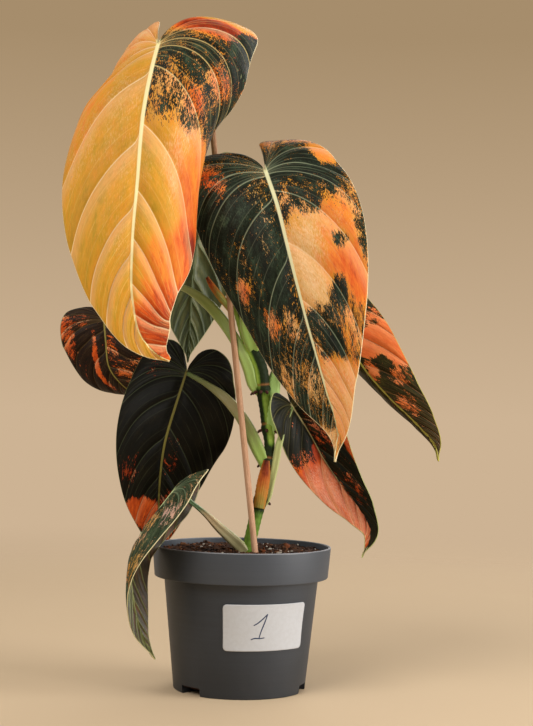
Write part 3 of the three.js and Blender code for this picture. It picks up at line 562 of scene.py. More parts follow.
class Surface:
    """A node material under construction; its methods return sockets."""

    def __init__(self, name):
        self.material = bpy.data.materials.new(name)
        self.material.use_nodes = True
        self.nodes = self.material.node_tree.nodes
        self.links = self.material.node_tree.links
        self.shader = self.nodes["Principled BSDF"]

    def put(self, socket, value):
        if isinstance(value, bpy.types.NodeSocket):
            self.links.new(value, socket)
        else:
            socket.default_value = value

    def add(self, kind, **settings):
        node = self.nodes.new(kind)
        for key, value in settings.items():
            setattr(node, key, value)
        return node

    def math(self, operation, a, b=0.0, clamp=False):
        node = self.add("ShaderNodeMath", operation=operation, use_clamp=clamp)
        self.put(node.inputs[0], a)
        self.put(node.inputs[1], b)
        return node.outputs[0]

    def attribute(self, name):
        """The three numbers of a painted attribute, and the whole vector."""
        node = self.add("ShaderNodeAttribute", attribute_name=name)
        parts = self.add("ShaderNodeSeparateXYZ")
        self.links.new(node.outputs["Vector"], parts.inputs[0])
        return parts.outputs[0], parts.outputs[1], parts.outputs[2], node.outputs["Vector"]

    def place(self):
        """Place on the piece, in metres."""
        return self.add("ShaderNodeTexCoord").outputs["Object"]

    def lengthwise(self, angle, along, wide, long):
        """Place round and along a stalk, for a noise whose lines run lengthwise."""
        around = self.add("ShaderNodeCombineXYZ")
        self.put(around.inputs[0], self.math("MULTIPLY", self.math("COSINE", angle), wide))
        self.put(around.inputs[1], self.math("MULTIPLY", self.math("SINE", angle), wide))
        self.put(around.inputs[2], self.math("MULTIPLY", along, long))
        return around.outputs[0]

    def stretch(self, vector, scale, shift=(0, 0, 0)):
        node = self.add("ShaderNodeMapping")
        self.put(node.inputs["Vector"], vector)
        node.inputs["Scale"].default_value = scale
        node.inputs["Location"].default_value = shift
        return node.outputs[0]

    def noise(self, vector, scale=1.0, detail=3.0, roughness=0.55):
        node = self.add("ShaderNodeTexNoise")
        self.put(node.inputs["Vector"], vector)
        node.inputs["Scale"].default_value = scale
        node.inputs["Detail"].default_value = detail
        node.inputs["Roughness"].default_value = roughness
        return node.outputs[0]

    def step(self, value, low, high, to_low=0.0, to_high=1.0):
        """Smooth step of a value from to_low at low to to_high at high."""
        node = self.add("ShaderNodeMapRange", interpolation_type="SMOOTHSTEP")
        self.put(node.inputs["Value"], value)
        self.put(node.inputs["From Min"], low)
        self.put(node.inputs["From Max"], high)
        node.inputs["To Min"].default_value = to_low
        node.inputs["To Max"].default_value = to_high
        return node.outputs[0]

    def ramp(self, value, stops):
        """Colour along stops of (place, colour code)."""
        node = self.add("ShaderNodeValToRGB")
        self.put(node.inputs[0], value)
        elements = node.color_ramp.elements
        while len(elements) < len(stops):
            elements.new(0.5)
        for element, (place, code) in zip(elements, stops):
            element.position = place
            element.color = colour(code)
        return node.outputs[0]

    def mix(self, share, a, b):
        node = self.add("ShaderNodeMix", data_type="RGBA")
        self.put(node.inputs[0], share)
        self.put(node.inputs[6], colour(a) if isinstance(a, str) else a)
        self.put(node.inputs[7], colour(b) if isinstance(b, str) else b)
        return node.outputs[2]

    def sum_of(self, *parts):
        """Sum of noises about their middle, each with its weight."""
        total = 0.0
        for value, weight in parts:
            centred = self.math("SUBTRACT", value, 0.5)
            total = self.math("ADD", total, self.math("MULTIPLY", centred, weight))
        return total

    def scaled(self, base, shares):
        """A colour with its red, green and blue multiplied."""
        node = self.add("ShaderNodeMix", data_type="RGBA", blend_type="MULTIPLY")
        node.inputs[0].default_value = 1
        self.put(node.inputs[6], base)
        node.inputs[7].default_value = (*shares, 1)
        return node.outputs[2]

    def bump(self, height, distance, strength=0.5):
        node = self.add("ShaderNodeBump")
        self.put(node.inputs["Height"], height)
        node.inputs["Distance"].default_value = distance
        node.inputs["Strength"].default_value = strength
        self.links.new(node.outputs[0], self.shader.inputs["Normal"])

    def finish(self, base, roughness, **constants):
        """Sets the shader; constants are values such as specular or sheen that are the same everywhere."""
        self.put(self.shader.inputs["Base Color"], base)
        self.put(self.shader.inputs["Roughness"], roughness)
        names = {"specular": "Specular IOR Level", "sheen": "Sheen Weight",
                 "sheen_roughness": "Sheen Roughness"}
        for key, value in constants.items():
            self.shader.inputs[names[key]].default_value = value
        return self.material


# Colours of the tissues, as stops of (place, colour code).
LIGHT_TISSUE = [(0, "7f7c20"), (0.16, "ac8c24"), (0.3, "cb962e"), (0.45, "dc962f"), (0.6, "e8842f"),
                (0.76, "d85c20"), (0.9, "ad3e16"), (1, "862a12")]
# Light tissue of leaf 7, brighter than LIGHT_TISSUE: painted light that makes up for the shade leaf 7 lies
# in.
PAINTED_LIT_TISSUE = [(0, "c8b040"), (0.45, "ffb058"), (0.7, "ff8a4a"), (0.9, "f06a34"), (1, "c04c22")]
DARK_TISSUE = [(0.25, "0b0d07"), (0.45, "161b10"), (0.6, "242f22"), (0.75, "3b4c38"), (0.9, "66704a")]


def upper_side(name, light=LIGHT_TISSUE, dark=DARK_TISSUE, vein="e6cf92", vein_share=0.6, rib="e9dfa0",
               margin="ecdcae", cream="f3d3a4", streaks=1.5, flecks=1.2, bands=0.4, band="f0b884"):
    """Velvety upper side: mottled dark and light tissue in streaks along the veins, with paler veins."""
    s = Surface(name)
    major, minor, edge, _ = s.attribute("lines")
    rib_x, rib_width, _, _ = s.attribute("ribs")
    before, after, spacing, _ = s.attribute("bands")
    dark_value, warm, pale, _ = s.attribute("paint")
    flow = s.attribute("flow")[3]
    broad = s.noise(s.stretch(flow, (0.18, 0.05, 1)), 1, 5, 0.65)
    streak = s.noise(s.stretch(flow, (0.75, 0.16, 1), (3, 7, 1)), 1, 6, 0.74)
    fleck = s.noise(s.stretch(flow, (2.2, 0.9, 1), (9, 2, 5)), 1, 5, 0.75)
    tone = s.noise(s.stretch(flow, (0.5, 0.08, 1), (1, 5, 9)), 1, 5, 0.65)
    wave = s.sum_of((streak, streaks), (fleck, flecks), (broad, 1.1))
    dark_share = s.step(s.math("ADD", dark_value, wave), 0.46, 0.56)
    light_share = s.math("SUBTRACT", 1, dark_share)
    warmth = s.math("ADD", warm, s.sum_of((tone, 0.5), (streak, 0.4), (fleck, 0.2)), clamp=True)
    light_colour = s.ramp(warmth, light)
    creaminess = s.step(s.math("ADD", pale, s.sum_of((fleck, 1.4), (broad, 0.6))), 0.35, 1.05)
    light_colour = s.mix(creaminess, light_colour, cream)
    dark_colour = s.ramp(s.math("ADD", tone, s.sum_of((fleck, 1.0), (broad, 0.5))), dark)
    tissue = s.mix(dark_share, light_colour, dark_colour)
    # Painted highlight: colour band, as strong as bands, laid on the tip side of each side vein.
    reach = s.math("MULTIPLY", spacing, 0.5)
    painted_highlight_share = s.step(s.math("DIVIDE", before, reach), 0.05, 1, bands, 0)
    tissue = s.mix(s.math("MULTIPLY", painted_highlight_share, light_share), tissue, band)
    # Painted shade: a darker band, as strong as bands, on the base side of each side vein.
    deep = s.step(s.math("DIVIDE", after, reach), 0.05, 1.1, bands, 0)
    tissue = s.mix(deep, tissue, s.scaled(tissue, (0.7, 0.6, 0.42)))
    quarter = s.math("MULTIPLY", spacing, 0.25)
    thread = s.math("MINIMUM", s.math("ABSOLUTE", s.math("SUBTRACT", before, quarter)),
                    s.math("ABSOLUTE", s.math("SUBTRACT", after, quarter)))
    faint_lines = s.math("ADD", s.step(minor, 0.1, 0.8, 0.42, 0), s.step(thread, 0.05, 0.55, 0.26, 0))
    tissue = s.mix(s.math("MULTIPLY", faint_lines, vein_share), tissue, vein)
    fibres = s.noise(s.stretch(flow, (2.6, 0.1, 1), (2, 8, 3)), 1, 4, 0.7)
    tissue = s.mix(s.step(fibres, 0.42, 0.66, 0, 0.4), tissue, s.scaled(tissue, (0.76, 0.68, 0.55)))
    vein_line = s.math("MULTIPLY", s.step(major, 0.15, 0.8, 1, 0), vein_share)
    tissue = s.mix(vein_line, tissue, s.mix(dark_share, "f4dcae", vein))
    rib_place = s.math("DIVIDE", rib_x, rib_width)
    tissue = s.mix(s.step(rib_place, 0.7, 1.3, 1, 0), tissue, rib)
    tissue = s.mix(s.step(edge, 0.2, 0.75, 0.9, 0), tissue, margin)
    s.bump(s.math("ADD", fleck, s.noise(s.stretch(flow, (5, 3, 1)), 1, 2, 0.5)), 0.00025, 0.35)
    roughness = s.math("ADD", 0.42, s.math("MULTIPLY", streak, 0.16))
    return s.finish(tissue, roughness, specular=0.12, sheen=0.02, sheen_roughness=0.3)


def under_side(name, tissue_stops, vein, rib, margin="a9a878"):
    """Smooth, paler lower side with raised ribs."""
    s = Surface(name)
    major, minor, edge, _ = s.attribute("lines")
    rib_x, rib_width, _, _ = s.attribute("ribs")
    flow = s.attribute("flow")[3]
    broad = s.noise(s.stretch(flow, (0.2, 0.05, 1), (2, 1, 4)), 1, 4, 0.6)
    fine = s.noise(s.stretch(flow, (1.4, 0.5, 1), (5, 3, 2)), 1, 3, 0.6)
    value = s.math("ADD", broad, s.math("MULTIPLY", s.math("SUBTRACT", fine, 0.5), 0.35))
    tissue = s.ramp(value, tissue_stops)
    tissue = s.mix(s.step(minor, 0.1, 0.5, 0.35, 0), tissue, vein)
    tissue = s.mix(s.step(major, 0.3, 0.9, 0.85, 0), tissue, vein)
    tissue = s.mix(s.step(s.math("DIVIDE", rib_x, rib_width), 0.9, 1.5, 1, 0), tissue, rib)
    tissue = s.mix(s.step(edge, 0.2, 0.8, 0.9, 0), tissue, margin)
    s.bump(fine, 0.0002, 0.3)
    return s.finish(tissue, 0.48, specular=0.4)


GREY_GREEN_UNDER = [(0.3, "333c26"), (0.5, "4b5230"), (0.66, "66663a"), (0.8, "7d7a4c")]
RED_UNDER = [(0.35, "2a1712"), (0.5, "4a241a"), (0.62, "6b3727"), (0.75, "7d4a33")]
# Underside of leaf 6 in dark browns: painted shade over its paler underside, which lies in shadow; its
# under_vein and under_rib in LEAF_FINISH are darker with it.
SHADED_BROWN_UNDER = [(0.3, "262312"), (0.5, "3f331c"), (0.66, "6a4630"), (0.8, "8a5a46")]
GREEN_UNDER = [(0.3, "56613c"), (0.5, "74794a"), (0.68, "93864f"), (0.8, "a86f4a")]

# bands sets how strong the painted highlight and shade bands by the side veins are.
LEAF_FINISH = {
    "leaf_1": {"upper": {"vein": "eccf86", "rib": "f6eab0", "streaks": 1.1, "flecks": 2.2},
               "under": GREEN_UNDER},
    "leaf_2": {"upper": {"vein": "b4bd98", "vein_share": 0.45, "rib": "dfdcae", "streaks": 1.2,
                         "flecks": 2}, "under": GREEN_UNDER},
    "leaf_3": {"upper": {"dark": [(0.3, "140d09"), (0.6, "2a1a10"), (0.85, "4a3d22")], "vein": "6e5a38",
                         "vein_share": 0.4, "rib": "8b7f3e", "margin": "8f9a78", "bands": 0.2},
               "under": GREY_GREEN_UNDER},
    "leaf_4": {"upper": {"dark": [(0.3, "090a04"), (0.55, "110f08"), (0.75, "1d1a0c"), (0.9, "35200e")],
                         "vein": "5d664a", "vein_share": 0.4, "rib": "7a7238", "margin": "6f7548",
                         "bands": 0.15}, "under": RED_UNDER},
    "leaf_5": {"upper": {}, "under": GREY_GREEN_UNDER, "under_vein": "5f6a42", "under_rib": "4c552c"},
    "leaf_6": {"upper": {"vein": "9db08a", "vein_share": 0.4, "rib": "b9c690", "cream": "c9a498",
                         "dark": [(0.3, "1c2415"), (0.55, "33402a"), (0.8, "5a6a48")], "bands": 0.2},
               "under": SHADED_BROWN_UNDER, "under_vein": "6f7444", "under_rib": "7c8048"},
    "leaf_7": {"upper": {"dark": [(0.3, "1b1c0c"), (0.6, "38341a"), (0.85, "66602c")], "vein": "d09a70",
                         "vein_share": 0.4, "rib": "b4ac52", "margin": "b4ac48", "bands": 0.25,
                         "light": PAINTED_LIT_TISSUE}, "under": RED_UNDER},
    "leaf_8": {"upper": {"dark": [(0.3, "0b0d06"), (0.6, "18190e"), (0.85, "302f1a")], "vein": "7c7448",
                         "vein_share": 0.3, "rib": "b4a878", "margin": "a8b070", "cream": "eeb89c",
                         "bands": 0.25}, "under": GREEN_UNDER},
}


def facing_of(along):
    """Ways across a path that face the front most."""
    front = np.array((0, -1.0, 0))
    return unit(front - (along @ front)[:, None] * along)


def stalk_mesh(points, sections, rings=60, sides=24, hollow=0.0):
    """Vertices, faces and attributes of a closed stalk with rounded ends; hollow grooves its front."""
    share = np.linspace(0, 1, rings)
    place, along, length = path_at(points, share)
    knots = path_through(points)[2]
    width = spline(knots, [s[0] for s in sections], share) / 2
    depth = spline(knots, [s[1] for s in sections], share) / 2
    end = np.minimum(share, 1 - share) * length / np.maximum(width, 0.5)
    cap = np.sqrt(np.clip(1 - (1 - np.clip(end / 0.6, 0, 1)) ** 2, 0.02, 1))
    facing = facing_of(along)
    across = np.cross(along, facing)
    angle = np.linspace(0, 2 * np.pi, sides, endpoint=False)
    groove = 1 - hollow * np.exp(-((angle - np.pi / 2) / 0.4) ** 2)
    for ridge in (np.pi / 2 - 0.85, np.pi / 2 + 0.85):
        groove = groove + 0.8 * hollow * np.exp(-((angle - ridge) / 0.22) ** 2)
    ring = (across[:, None] * np.cos(angle)[None, :, None] * (width * cap)[:, None, None]
            + facing[:, None] * (np.sin(angle) * groove)[None, :, None] * (depth * cap)[:, None, None])
    vertices = (place[:, None] + ring).reshape(-1, 3)
    faces = []
    for i in range(rings - 1):
        for k in range(sides):
            a = i * sides + k
            b = i * sides + (k + 1) % sides
            faces.append([a, b, b + sides, a + sides])
    faces.append(list(range(sides))[::-1])
    faces.append([(rings - 1) * sides + k for k in range(sides)])
    spot = np.stack([np.tile(angle, rings), np.repeat(share * length, sides), np.repeat(share, sides)], 1)
    return vertices, faces, {"spot": spot}


def stalk_finish(name, stops, edge="c9cf9a", edge_share=0.5):
    """Green stalk: colour along its length, fine lines lengthwise and paler sides."""
    s = Surface(name)
    angle, along, share, _ = s.attribute("spot")
    around = s.lengthwise(angle, along, 3, 0.06)
    lines = s.noise(around, 1.6, 4, 0.6)
    value = s.math("ADD", share, s.math("MULTIPLY", s.math("SUBTRACT", lines, 0.5), 0.35), clamp=True)
    base = s.ramp(value, stops)
    sides = s.step(s.math("ABSOLUTE", s.math("COSINE", angle)), 0.8, 1, 0, edge_share)
    base = s.mix(sides, base, edge)
    s.bump(lines, 0.0004, 0.4)
    return s.finish(base, 0.42, specular=0.4)


# A petiole runs into the stem this far below its foot, with this share of its size.
PETIOLE_ROOT = {"drop": 7, "share": 0.55}
# Colours along each petiole, from the stem to the blade.
PETIOLE_STOPS = {
    "leaf_1": [(0, "8fa35a"), (0.5, "a3ad62"), (1, "a8a35a")],
    "leaf_2": [(0, "7f9a48"), (0.4, "9fb05a"), (1, "a9ad62")],
    "leaf_3": [(0, "86a052"), (0.35, "9cae5c"), (0.7, "a39c62"), (1, "97a65c")],
    "leaf_4": [(0, "8fb04e"), (0.3, "7c8648"), (0.55, "948a60"), (0.8, "80854c"), (1, "5f7438")],
    "leaf_5": [(0, "7f9a50"), (1, "6f7f4c")],
    "leaf_6": [(0, "9a9566"), (0.4, "a39a70"), (0.65, "b59a72"), (0.75, "45603a"), (1, "4a6a40")],
    "leaf_7": [(0, "8fae5a"), (0.4, "9bb868"), (1, "7f9250")],
    "leaf_8": [(0, "8f9450"), (0.5, "a3a56a"), (0.8, "8c9a58"), (1, "6f7f48")],
}


def rooted(points, section):
    """A petiole's path and sections, led on down into the middle of the stem."""
    foot = np.array(points[0], float)
    stem = np.array(STEM["points"], float)
    low = foot[2] - PETIOLE_ROOT["drop"]
    middle = [np.interp(low, stem[:, 2], stem[:, i]) for i in (0, 1)]
    size = tuple(PETIOLE_ROOT["share"] * side for side in section[0])
    return [(*middle, low), *points], [size, *section]


def build_leaves():
    for number, (name, leaf) in enumerate(LEAVES.items(), 1):
        finish = LEAF_FINISH[name]
        upper = upper_side(f"{name}_upper_side", **finish["upper"])
        under = under_side(f"{name}_under_side", finish["under"], finish.get("under_vein", "9aa66f"),
                           finish.get("under_rib", "8f9a5c"))
        vertices, faces, kinds, attributes = blade_mesh(leaf, LEAF_PAINT[name], 10 * number)
        make_piece(f"{name}_blade_sheet", vertices, faces, [upper, under], [f"{name}_blade"],
                   kinds, attributes)
        vertices, faces, attributes = stalk_mesh(*rooted(leaf["petiole"], leaf["section"]), hollow=0.25)
        make_piece(f"{name}_petiole_stalk", vertices, faces,
                   [stalk_finish(f"{name}_petiole_skin", PETIOLE_STOPS[name])], [f"{name}_petiole"],
                   None, attributes)


# The pot, its label, the soil, the stick and the stem, where the CAD source has them, with finish values.
POT = {
    "height": 95, "rim_radius": 60, "band_height": 20.6, "band_radius": 58.2, "shoulder_radius": 51.8,
    "foot_radius": 44, "wall": 1.3, "rim_wall": 1.8, "floor": 1.6, "disc_radius": 25, "disc_slope": 1.5,
    "lift": 2.5, "foot_ring": 6, "foot_slope": 1, "segments": 240,
}
NOTCH = {"width": 17, "height": 5.5, "depth": 8, "azimuths": (-45, 75, 195)}
DRAIN_HOLE = {"diameter": 6, "circle": 31, "count": 6, "low": -5, "high": 12, "sides": 24}
LABEL = {"from": -12, "to": 55.5, "bottom": 31.7, "top": 61.7, "lift": 0.4, "thickness": 0.3, "corner": 2.6}
# Strokes of the handwritten number: azimuth in degrees and height.
NUMBER_STROKES = [
    [(10.9, 48.4), (14, 49.9), (18, 52.8), (21.2, 55.6)],
    [(21.2, 55.6), (19.3, 50.5), (16.9, 45), (15.3, 40.2)],
    [(9, 39.3), (12, 40.1), (16, 40), (19.6, 40.4)],
]
STICK = {"foot": (9.1, -25, 92.9), "top": (-28, 14, 389.3), "buried": 50, "diameter": 4.1}
STEM = {
    "points": [(4.6, -14, 94), (7, -13, 106), (9.7, -11, 118), (11.9, -10, 126), (14.6, -8, 139),
               (16.1, -6, 151), (17.2, -5, 163), (15.9, -4, 174), (13.6, -4, 188), (12, -4, 200),
               (10.4, -4, 212), (3.3, -2, 229), (-6.1, 2, 255), (-12.2, 5.5, 281)],
    "radii": [4.2, 4.2, 4.3, 4.4, 3.7, 4, 3.5, 4.2, 3.9, 4.8, 4.9, 4.9, 3.6, 2.8],
    "buried": 25,
    "joints": [3, 5, 7, 9, 11],
}
# Dry root nubs at the joints: point of the stem, azimuth from the front, length.
NUBS = [(3, -85, 2.4), (3, 100, 3), (5, -85, 3.4), (7, -80, 3.6), (7, -10, 2), (7, 60, 3.4), (7, 90, 4),
        (9, -95, 4.2), (9, -60, 3.6), (9, -15, 2), (9, 30, 2.4)]
NUB = {"radius": 0.95, "tip": 0.55, "root": 1.5, "droop": 0.35}
DRY_SHEATHS = {
    "dry_sheath_lower": {
        "points": [(11, -14.8, 121), (12.8, -14.4, 133), (14.3, -13, 143), (15.4, -12, 152.5)],
        "section": [(8, 3), (8.6, 2.6), (7.6, 2.2), (4, 1.4)],
        "stops": [(0, "857a34"), (0.35, "a4702a"), (0.6, "a04c16"), (0.8, "74290b"), (1, "4a1806")],
    },
    "dry_sheath_upper": {
        "points": [(-10.8, -2.2, 254), (-19, -4.2, 263), (-24, -3.6, 269.5), (-27.5, -4, 275)],
        "section": [(5.4, 2), (4.6, 1.8), (3.8, 1.4), (2, 1.2)],
        "stops": [(0, "8a9a52"), (0.5, "8a7a3a"), (0.75, "a84a1c"), (1, "4a2212")],
    },
}
SOIL = {"top": 92, "edge_drop": 2, "rings": 80, "segments": 200, "chips": 900, "grains": 46}


def body_radius(z):
    share = z / (POT["height"] - POT["band_height"])
    return POT["foot_radius"] + (POT["shoulder_radius"] - POT["foot_radius"]) * share


def rounded(profile, radius, steps=5):
    """A profile with its corners rounded; the first and last points stay."""
    points = [np.array(p, float) for p in profile]
    out = [points[0]]
    for before, corner, after in zip(points, points[1:], points[2:]):
        reach_in = min(radius, 0.45 * np.linalg.norm(before - corner))
        reach_out = min(radius, 0.45 * np.linalg.norm(after - corner))
        start = corner + unit(before - corner) * reach_in
        end = corner + unit(after - corner) * reach_out
        for t in np.linspace(0, 1, steps):
            out.append((1 - t) ** 2 * start + 2 * t * (1 - t) * corner + t * t * end)
    out.append(points[-1])
    return out


def turned(profile, segments):
    """Vertices and faces of a profile (radius, height) turned about z, closed where it meets the axis."""
    angle = np.linspace(0, 2 * np.pi, segments, endpoint=False)
    vertices = []
    rings = []
    for radius, z in profile:
        if radius < 1e-6:
            rings.append([len(vertices)] * segments)
            vertices.append((0, 0, z))
            continue
        rings.append(list(range(len(vertices), len(vertices) + segments)))
        vertices += [(radius * math.sin(a), -radius * math.cos(a), z) for a in angle]
    faces = []
    for low, high in zip(rings, rings[1:]):
        for k in range(segments):
            n = (k + 1) % segments
            face = list(dict.fromkeys([low[k], low[n], high[n], high[k]]))
            if len(face) > 2:
                faces.append(face)
    return vertices, faces


def object_of(name, vertices, faces):
    mesh = bpy.data.meshes.new(name)
    mesh.from_pydata((np.asarray(vertices, float) * MM).tolist(), [], faces)
    piece = bpy.data.objects.new(name, mesh)
    bpy.context.collection.objects.link(piece)
    return piece


def cut(piece, cutters):
    """Subtracts the cutters from the piece and removes them."""
    for cutter in cutters:
        modifier = piece.modifiers.new("cut", "BOOLEAN")
        modifier.operation = "DIFFERENCE"
        modifier.solver = "EXACT"
        modifier.object = cutter
    result = bpy.data.meshes.new_from_object(piece.evaluated_get(bpy.context.evaluated_depsgraph_get()))
    piece.modifiers.clear()
    piece.data = result
    for cutter in cutters:
        bpy.data.objects.remove(cutter)


def box_at(centre, size, turn):
    """A box object about the z axis: centre and size in millimetres, turned by degrees."""
    corners = np.array([(x, y, z) for x in (-0.5, 0.5) for y in (-0.5, 0.5) for z in (-0.5, 0.5)])
    corners = corners * size + centre
    c, s = math.cos(math.radians(turn)), math.sin(math.radians(turn))
    corners[:, :2] = corners[:, :2] @ np.array([(c, s), (-s, c)])
    faces = [(0, 1, 3, 2), (4, 6, 7, 5), (0, 4, 5, 1), (2, 3, 7, 6), (0, 2, 6, 4), (1, 5, 7, 3)]
    return object_of("cutter", corners, faces)


def hole_at(turn):
    angle = math.radians(turn)
    middle = np.array([math.cos(angle), math.sin(angle)]) * DRAIN_HOLE["circle"]
    radius = DRAIN_HOLE["diameter"] / 2
    low, high = DRAIN_HOLE["low"], DRAIN_HOLE["high"]
    vertices, faces = turned([(0, low), (radius, low), (radius, high), (0, high)], DRAIN_HOLE["sides"])
    vertices = [(x + middle[0], y + middle[1], z) for x, y, z in vertices]
    return object_of("cutter", vertices, faces)


def finish_piece(piece, materials, replaced, smooth_angle=None):
    for material in materials:
        piece.data.materials.append(material)
    piece.data.polygons.foreach_set("use_smooth", [True] * len(piece.data.polygons))
    if smooth_angle:
        piece.data.set_sharp_from_angle(angle=math.radians(smooth_angle))
    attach(piece, "root")
    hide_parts(*replaced)


def pot_plastic():
    """Matt dark grey plastic: fine grain, faint marks round it, painted light on the band, a paler lip,
    darker towards the bottom and crumbs of dirt.
    """
    s = Surface("pot_plastic")
    where = s.place()
    parts = s.add("ShaderNodeSeparateXYZ")
    s.put(parts.inputs[0], where)
    z = s.math("MULTIPLY", parts.outputs[2], 1000)
    grain = s.noise(where, 900, 3, 0.6)
    clouds = s.noise(where, 26, 4, 0.6)
    rings = s.noise(s.stretch(where, (6, 6, 700)), 1, 3, 0.6)
    dust = s.noise(where, 260, 3, 0.65)
    base = s.mix(s.math("ADD", 0.5, s.sum_of((clouds, 0.9), (rings, 0.7)), clamp=True), "262b31", "343a42")
    shoulder = POT["height"] - POT["band_height"]
    # Painted light: the band above the shoulder mixed a fifth of the way to a lighter grey, for the light
    # the rim band catches.
    base = s.mix(s.step(z, shoulder - 0.5, shoulder + 0.5, 0, 0.2), base, "5e636b")
    lip = s.step(s.math("ADD", z, s.sum_of((clouds, 1.5))), POT["height"] - 0.9, POT["height"] - 0.2)
    base = s.mix(lip, base, "7c7e82")
    low = s.step(z, 5, 90, 0.735, 0.78)
    base = s.mix(s.step(dust, low, s.math("ADD", low, 0.03)), base, "6e4f38")
    base = s.mix(s.step(z, 4, 50, 0.45, 0), base, "17191b")
    film = s.math("MULTIPLY", s.step(clouds, 0.45, 0.75), s.step(z, 0, 22, 0.15, 0.04))
    base = s.mix(film, base, "564c42")
    s.bump(grain, 0.0002, 0.25)
    return s.finish(base, s.math("ADD", 0.42, s.math("MULTIPLY", clouds, 0.2)), specular=0.45)


def build_pot():
    shoulder = POT["height"] - POT["band_height"]
    floor_top = POT["lift"] + POT["floor"]
    ring_inside = POT["foot_radius"] - POT["foot_ring"]
    rim_inside = POT["rim_radius"] - POT["rim_wall"]
    wall = POT["wall"]
    outside = [
        (0, 0), (POT["disc_radius"], 0), (POT["disc_radius"] + POT["disc_slope"], POT["lift"]),
        (ring_inside - POT["foot_slope"], POT["lift"]), (ring_inside, 0), (POT["foot_radius"], 0),
        (POT["shoulder_radius"], shoulder), (POT["band_radius"], shoulder),
        (POT["rim_radius"], POT["height"]), (rim_inside, POT["height"]),
        (POT["band_radius"] - wall, shoulder + wall),
        (body_radius(shoulder) - wall, shoulder + wall), (body_radius(floor_top) - wall, floor_top),
        (POT["disc_radius"] + 1 + POT["disc_slope"], floor_top), (POT["disc_radius"] + 1, POT["floor"]),
        (0, POT["floor"]),
    ]
    pot = object_of("pot_shell", *turned(rounded(outside, 0.8), POT["segments"]))
    notch_size = (NOTCH["width"], 2 * NOTCH["depth"], 2 * NOTCH["height"])
    cutters = [box_at((0, -POT["foot_radius"], 0), notch_size, turn) for turn in NOTCH["azimuths"]]
    cutters += [hole_at(360 * i / DRAIN_HOLE["count"]) for i in range(DRAIN_HOLE["count"])]
    cut(pot, cutters)
    finish_piece(pot, [pot_plastic()], ["pot"], 35)


def on_pot(azimuth, z, lift):
    """Places at azimuths in degrees and heights, lifted off the pot's body."""
    angle = np.radians(azimuth)
    radius = body_radius(z) + lift
    return np.stack([radius * np.sin(angle), -radius * np.cos(angle), z], -1)


def grid_faces(rows, columns):
    index = np.arange(rows * columns).reshape(rows, columns)
    corners = (index[:-1, :-1], index[:-1, 1:], index[1:, 1:], index[1:, :-1])
    return np.stack([c.ravel() for c in corners], 1).tolist()


def rounded_sheet(columns, rows, width, height, corner):
    """Grid over a rectangle with rounded corners: places from its middle, and faces."""
    a, b = np.meshgrid(np.linspace(-1, 1, columns), np.linspace(-1, 1, rows))
    x = a * width / 2
    y = b * height / 2
    over_x = np.clip(np.abs(x) - (width / 2 - corner), 0, None)
    over_y = np.clip(np.abs(y) - (height / 2 - corner), 0, None)
    reach = np.sqrt(over_x ** 2 + over_y ** 2)
    most = np.maximum(over_x, over_y)
    shrink = np.where(reach > 0, most / np.maximum(reach, 1e-9), 1)
    x = np.sign(x) * (np.abs(x) - over_x * (1 - shrink))
    y = np.sign(y) * (np.abs(y) - over_y * (1 - shrink))
    return x.ravel(), y.ravel(), grid_faces(rows, columns)


def label_paper():
    s = Surface("label_paper")
    where = s.place()
    fibre = s.noise(where, 420, 4, 0.6)
    stain = s.noise(where, 60, 3, 0.5)
    # Painted shade: the white paper given light greys for the dim light on the label; the stain noise
    # varies them.
    base = s.mix(s.step(stain, 0.5, 0.85, 0, 0.35), "b9bbbe", "a9abae")
    base = s.mix(s.step(fibre, 0.35, 0.65, 0.12, 0), base, "98948f")
    s.bump(fibre, 0.0001, 0.2)
    return s.finish(base, 0.62, specular=0.3)


def ink():
    s = Surface("label_ink")
    where = s.place()
    s.finish(s.mix(s.noise(where, 900, 2, 0.5), "1c2740", "3a4a68"), 0.5, specular=0.3)
    return s.material


def build_label():
    width = LABEL["to"] - LABEL["from"]
    height = LABEL["top"] - LABEL["bottom"]
    per_degree = math.radians(1) * body_radius((LABEL["top"] + LABEL["bottom"]) / 2)
    x, y, faces = rounded_sheet(90, 44, width * per_degree, height, LABEL["corner"])
    azimuth = (LABEL["from"] + LABEL["to"]) / 2 + x / per_degree
    z = (LABEL["top"] + LABEL["bottom"]) / 2 + y
    curl = 0.35 * smoothstep(0.9, 1.35, np.hypot(2 * x / (width * per_degree), 2 * y / height))
    outer = on_pot(azimuth, z, LABEL["lift"] + LABEL["thickness"] / 2 + curl)
    inner = on_pot(azimuth, z, LABEL["lift"] - LABEL["thickness"] / 2 + curl)
    vertices, faces, kinds, _ = close_sheet(outer, inner, faces, 0.05)
    kinds = [0] * len(kinds)
    lift = LABEL["lift"] + LABEL["thickness"] / 2
    for stroke in NUMBER_STROKES:
        share = np.linspace(0, 1, 24)
        line = spline(np.linspace(0, 1, len(stroke)), np.array(stroke, float), share)
        way = np.gradient(line * (per_degree, 1), axis=0)
        side = np.stack([-way[:, 1], way[:, 0]], 1) / np.linalg.norm(way, axis=1, keepdims=True)
        half = (0.42 - 0.2 * np.abs(share - 0.45))[:, None]
        left = line + side * half / (per_degree, 1)
        right = line - side * half / (per_degree, 1)
        first = len(vertices)
        for edge, rise in ((left, 0.03), (line, 0.09), (right, 0.03), (line, -0.05)):
            vertices = np.vstack([vertices, on_pot(edge[:, 0], edge[:, 1], lift + rise)])
        count = len(share)
        for k in range(count - 1):
            for strip in range(4):
                a = first + strip * count + k
                b = first + (strip + 1) % 4 * count + k
                faces.append([a, a + 1, b + 1, b])
                kinds.append(1)
        for k in (0, count - 1):
            ends = [first + strip * count + k for strip in range(4)]
            faces.append(ends if k == 0 else ends[::-1])
            kinds.append(1)
    make_piece("label_sticker", vertices, faces, [label_paper(), ink()], ["label"], kinds)


